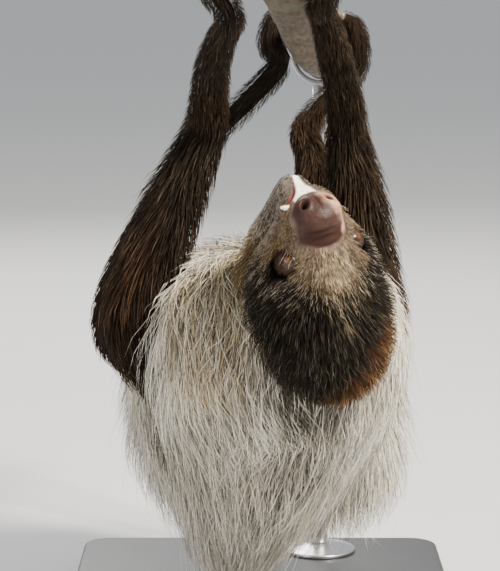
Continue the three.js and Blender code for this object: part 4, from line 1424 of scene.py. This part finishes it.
# Head hair runs from the nose back over the crown to the nape, a little out to both sides, and the cheeks'
# hair falls away from the muzzle. It is a few millimetres long on the face and about 15 mm at the back of
# the crown.
def head_flow(p, along, normal):
    f, l, u = head_frame(p).T
    return -FORWARD + 0.012 * l[:, None] * LEFT + 0.3 * DOWN


def forward(p):
    """How far forward places lie in the head."""
    return head_frame(p)[:, 0]


def grows(p):
    """0 on the bare nose, lips and lids, 1 where hair grows."""
    pad, lip, line, lower, lids = face_zones(p)
    return np.clip(1 - pad - lip - line, 0, 1) * (1 - lids)


# On the crown the few pale-tipped hairs and the lighter tips are partly the hair's own pale tips and partly a
# painted highlight where tips catch the light.
crown_coat = dict(
    density=lambda p, q, a: clear_of(p, jaw) * grows(p) * ramp(-forward(p), -8, 4),
    length=lambda p: 7 + 8 * ramp(-forward(p), -2, 60),
    width=lambda p: 0.46 + 0.16 * ramp(-forward(p), 0, 50),
    rise=(0.4, 1.2),
    flow=head_flow,
    sway=0.6,
    curl=0.9,
    joints=3,
    lock=5.0,
    pull=0.4,
    color=head_coat_color,
    odd=(0.14, 0.10),
    light=(0.19, 0.16, 0.11),
    tips=(0.45, 0.9),
    shade=(0.5, 1.6),
    slot="head_coat",
)
for i in range(2):
    add_coat(f"coat_crown_{i + 1}", skull, 10500, crown_coat, rng)
jaw_coat = dict(
    crown_coat,
    density=lambda p, q, a: clear_of(p, skull) * ramp(-forward(p), -20, 2),
    length=lambda p: 8.0 + 6 * ramp(-forward(p), -6, 20) + 8 * ramp(-forward(p), 30, 50),
    light=(0.50, 0.38, 0.20),
)
add_coat("coat_cheeks", jaw, 8500, jaw_coat, rng)
face_coat = dict(
    crown_coat,
    density=lambda p, q, a: clear_of(p, jaw)
    * grows(p)
    * ramp(forward(p), -14, -2)
    * (1 - 0.5 * ramp(forward(p), 2, 16)),
    length=lambda p: 9.0 - 5.5 * ramp(forward(p), -8, 12),
    width=lambda p: 0.50 - 0.14 * ramp(forward(p), -8, 12),
    rise=(0.5, 1.3),
    curl=0.3,
    joints=2,
    lock=3.0,
    light=(0.62, 0.52, 0.40),
    odd=(0.25, 0.12),
)
add_coat("coat_face", skull, 15000, face_coat, rng)
stubble = dict(
    face_coat,
    density=lambda p, q, a: clear_of(p, skull) * ramp(forward(p), -16, 8) * grows(p),
    length=lambda p: 6.0 - 3.5 * ramp(forward(p), 0, 22),
    light=(0.70, 0.66, 0.60),
    odd=(0.45, 0.05),
)
add_coat("coat_chin", jaw, 8000, stubble, rng)
whiskers = dict(
    face_coat,
    density=lambda p, q, a: grows(p)
    * ramp(forward(p), 12, 18)
    * ramp(np.abs(head_frame(p)[:, 1]), 14, 20),
    length=even(14.0),
    width=even(0.28),
    rise=(1.5, 4.0),
    sway=0.5,
    curl=2.0,
    joints=4,
    light=(0.75, 0.66, 0.50),
    odd=(0.9, 0.0),
)
add_coat("coat_whiskers", skull, 26, whiskers, rng)


# Limb hair lies from the wrist down to the body, and from the knuckles to the wrist.
def limb_flow(p, along, normal):
    return -along + 0.35 * DOWN


limb_coat = dict(
    density=lambda p, q, a: clear_of(p, body, skull, jaw) * (1 + 1.4 * ramp(p[:, 2], 380, 480)),
    length=lambda p: 17 + 20 * ramp(-p[:, 2], -500, -330),
    width=lambda p: 0.72 + 0.30 * ramp(-p[:, 2], -500, -330),
    rise=(0.3, 1.0),
    flow=limb_flow,
    sway=0.2,
    curl=0.9,
    joints=3,
    lock=7.0,
    pull=0.45,
    color=limb_coat_color,
    odd=(0.10, 0.10),
    light=(0.13, 0.085, 0.052),
    tips=(0.3, 0.9),
    shade=(0.5, 1.8),
    slot="dark_coat",
)
hand_coat = dict(
    limb_coat,
    density=lambda p, q, a: ramp(branch.outside(p), 3, 7),
    length=even(12.0),
    width=even(0.6),
    rise=(0.4, 1.6),
    curl=0.4,
    joints=2,
    lock=4.0,
)
for name in HOLDS:
    add_coat("coat_" + name, limbs[name], 5600, limb_coat, rng)
    add_coat("coat_" + HOLDS[name]["name"], palms[name], 1800, hand_coat, rng)
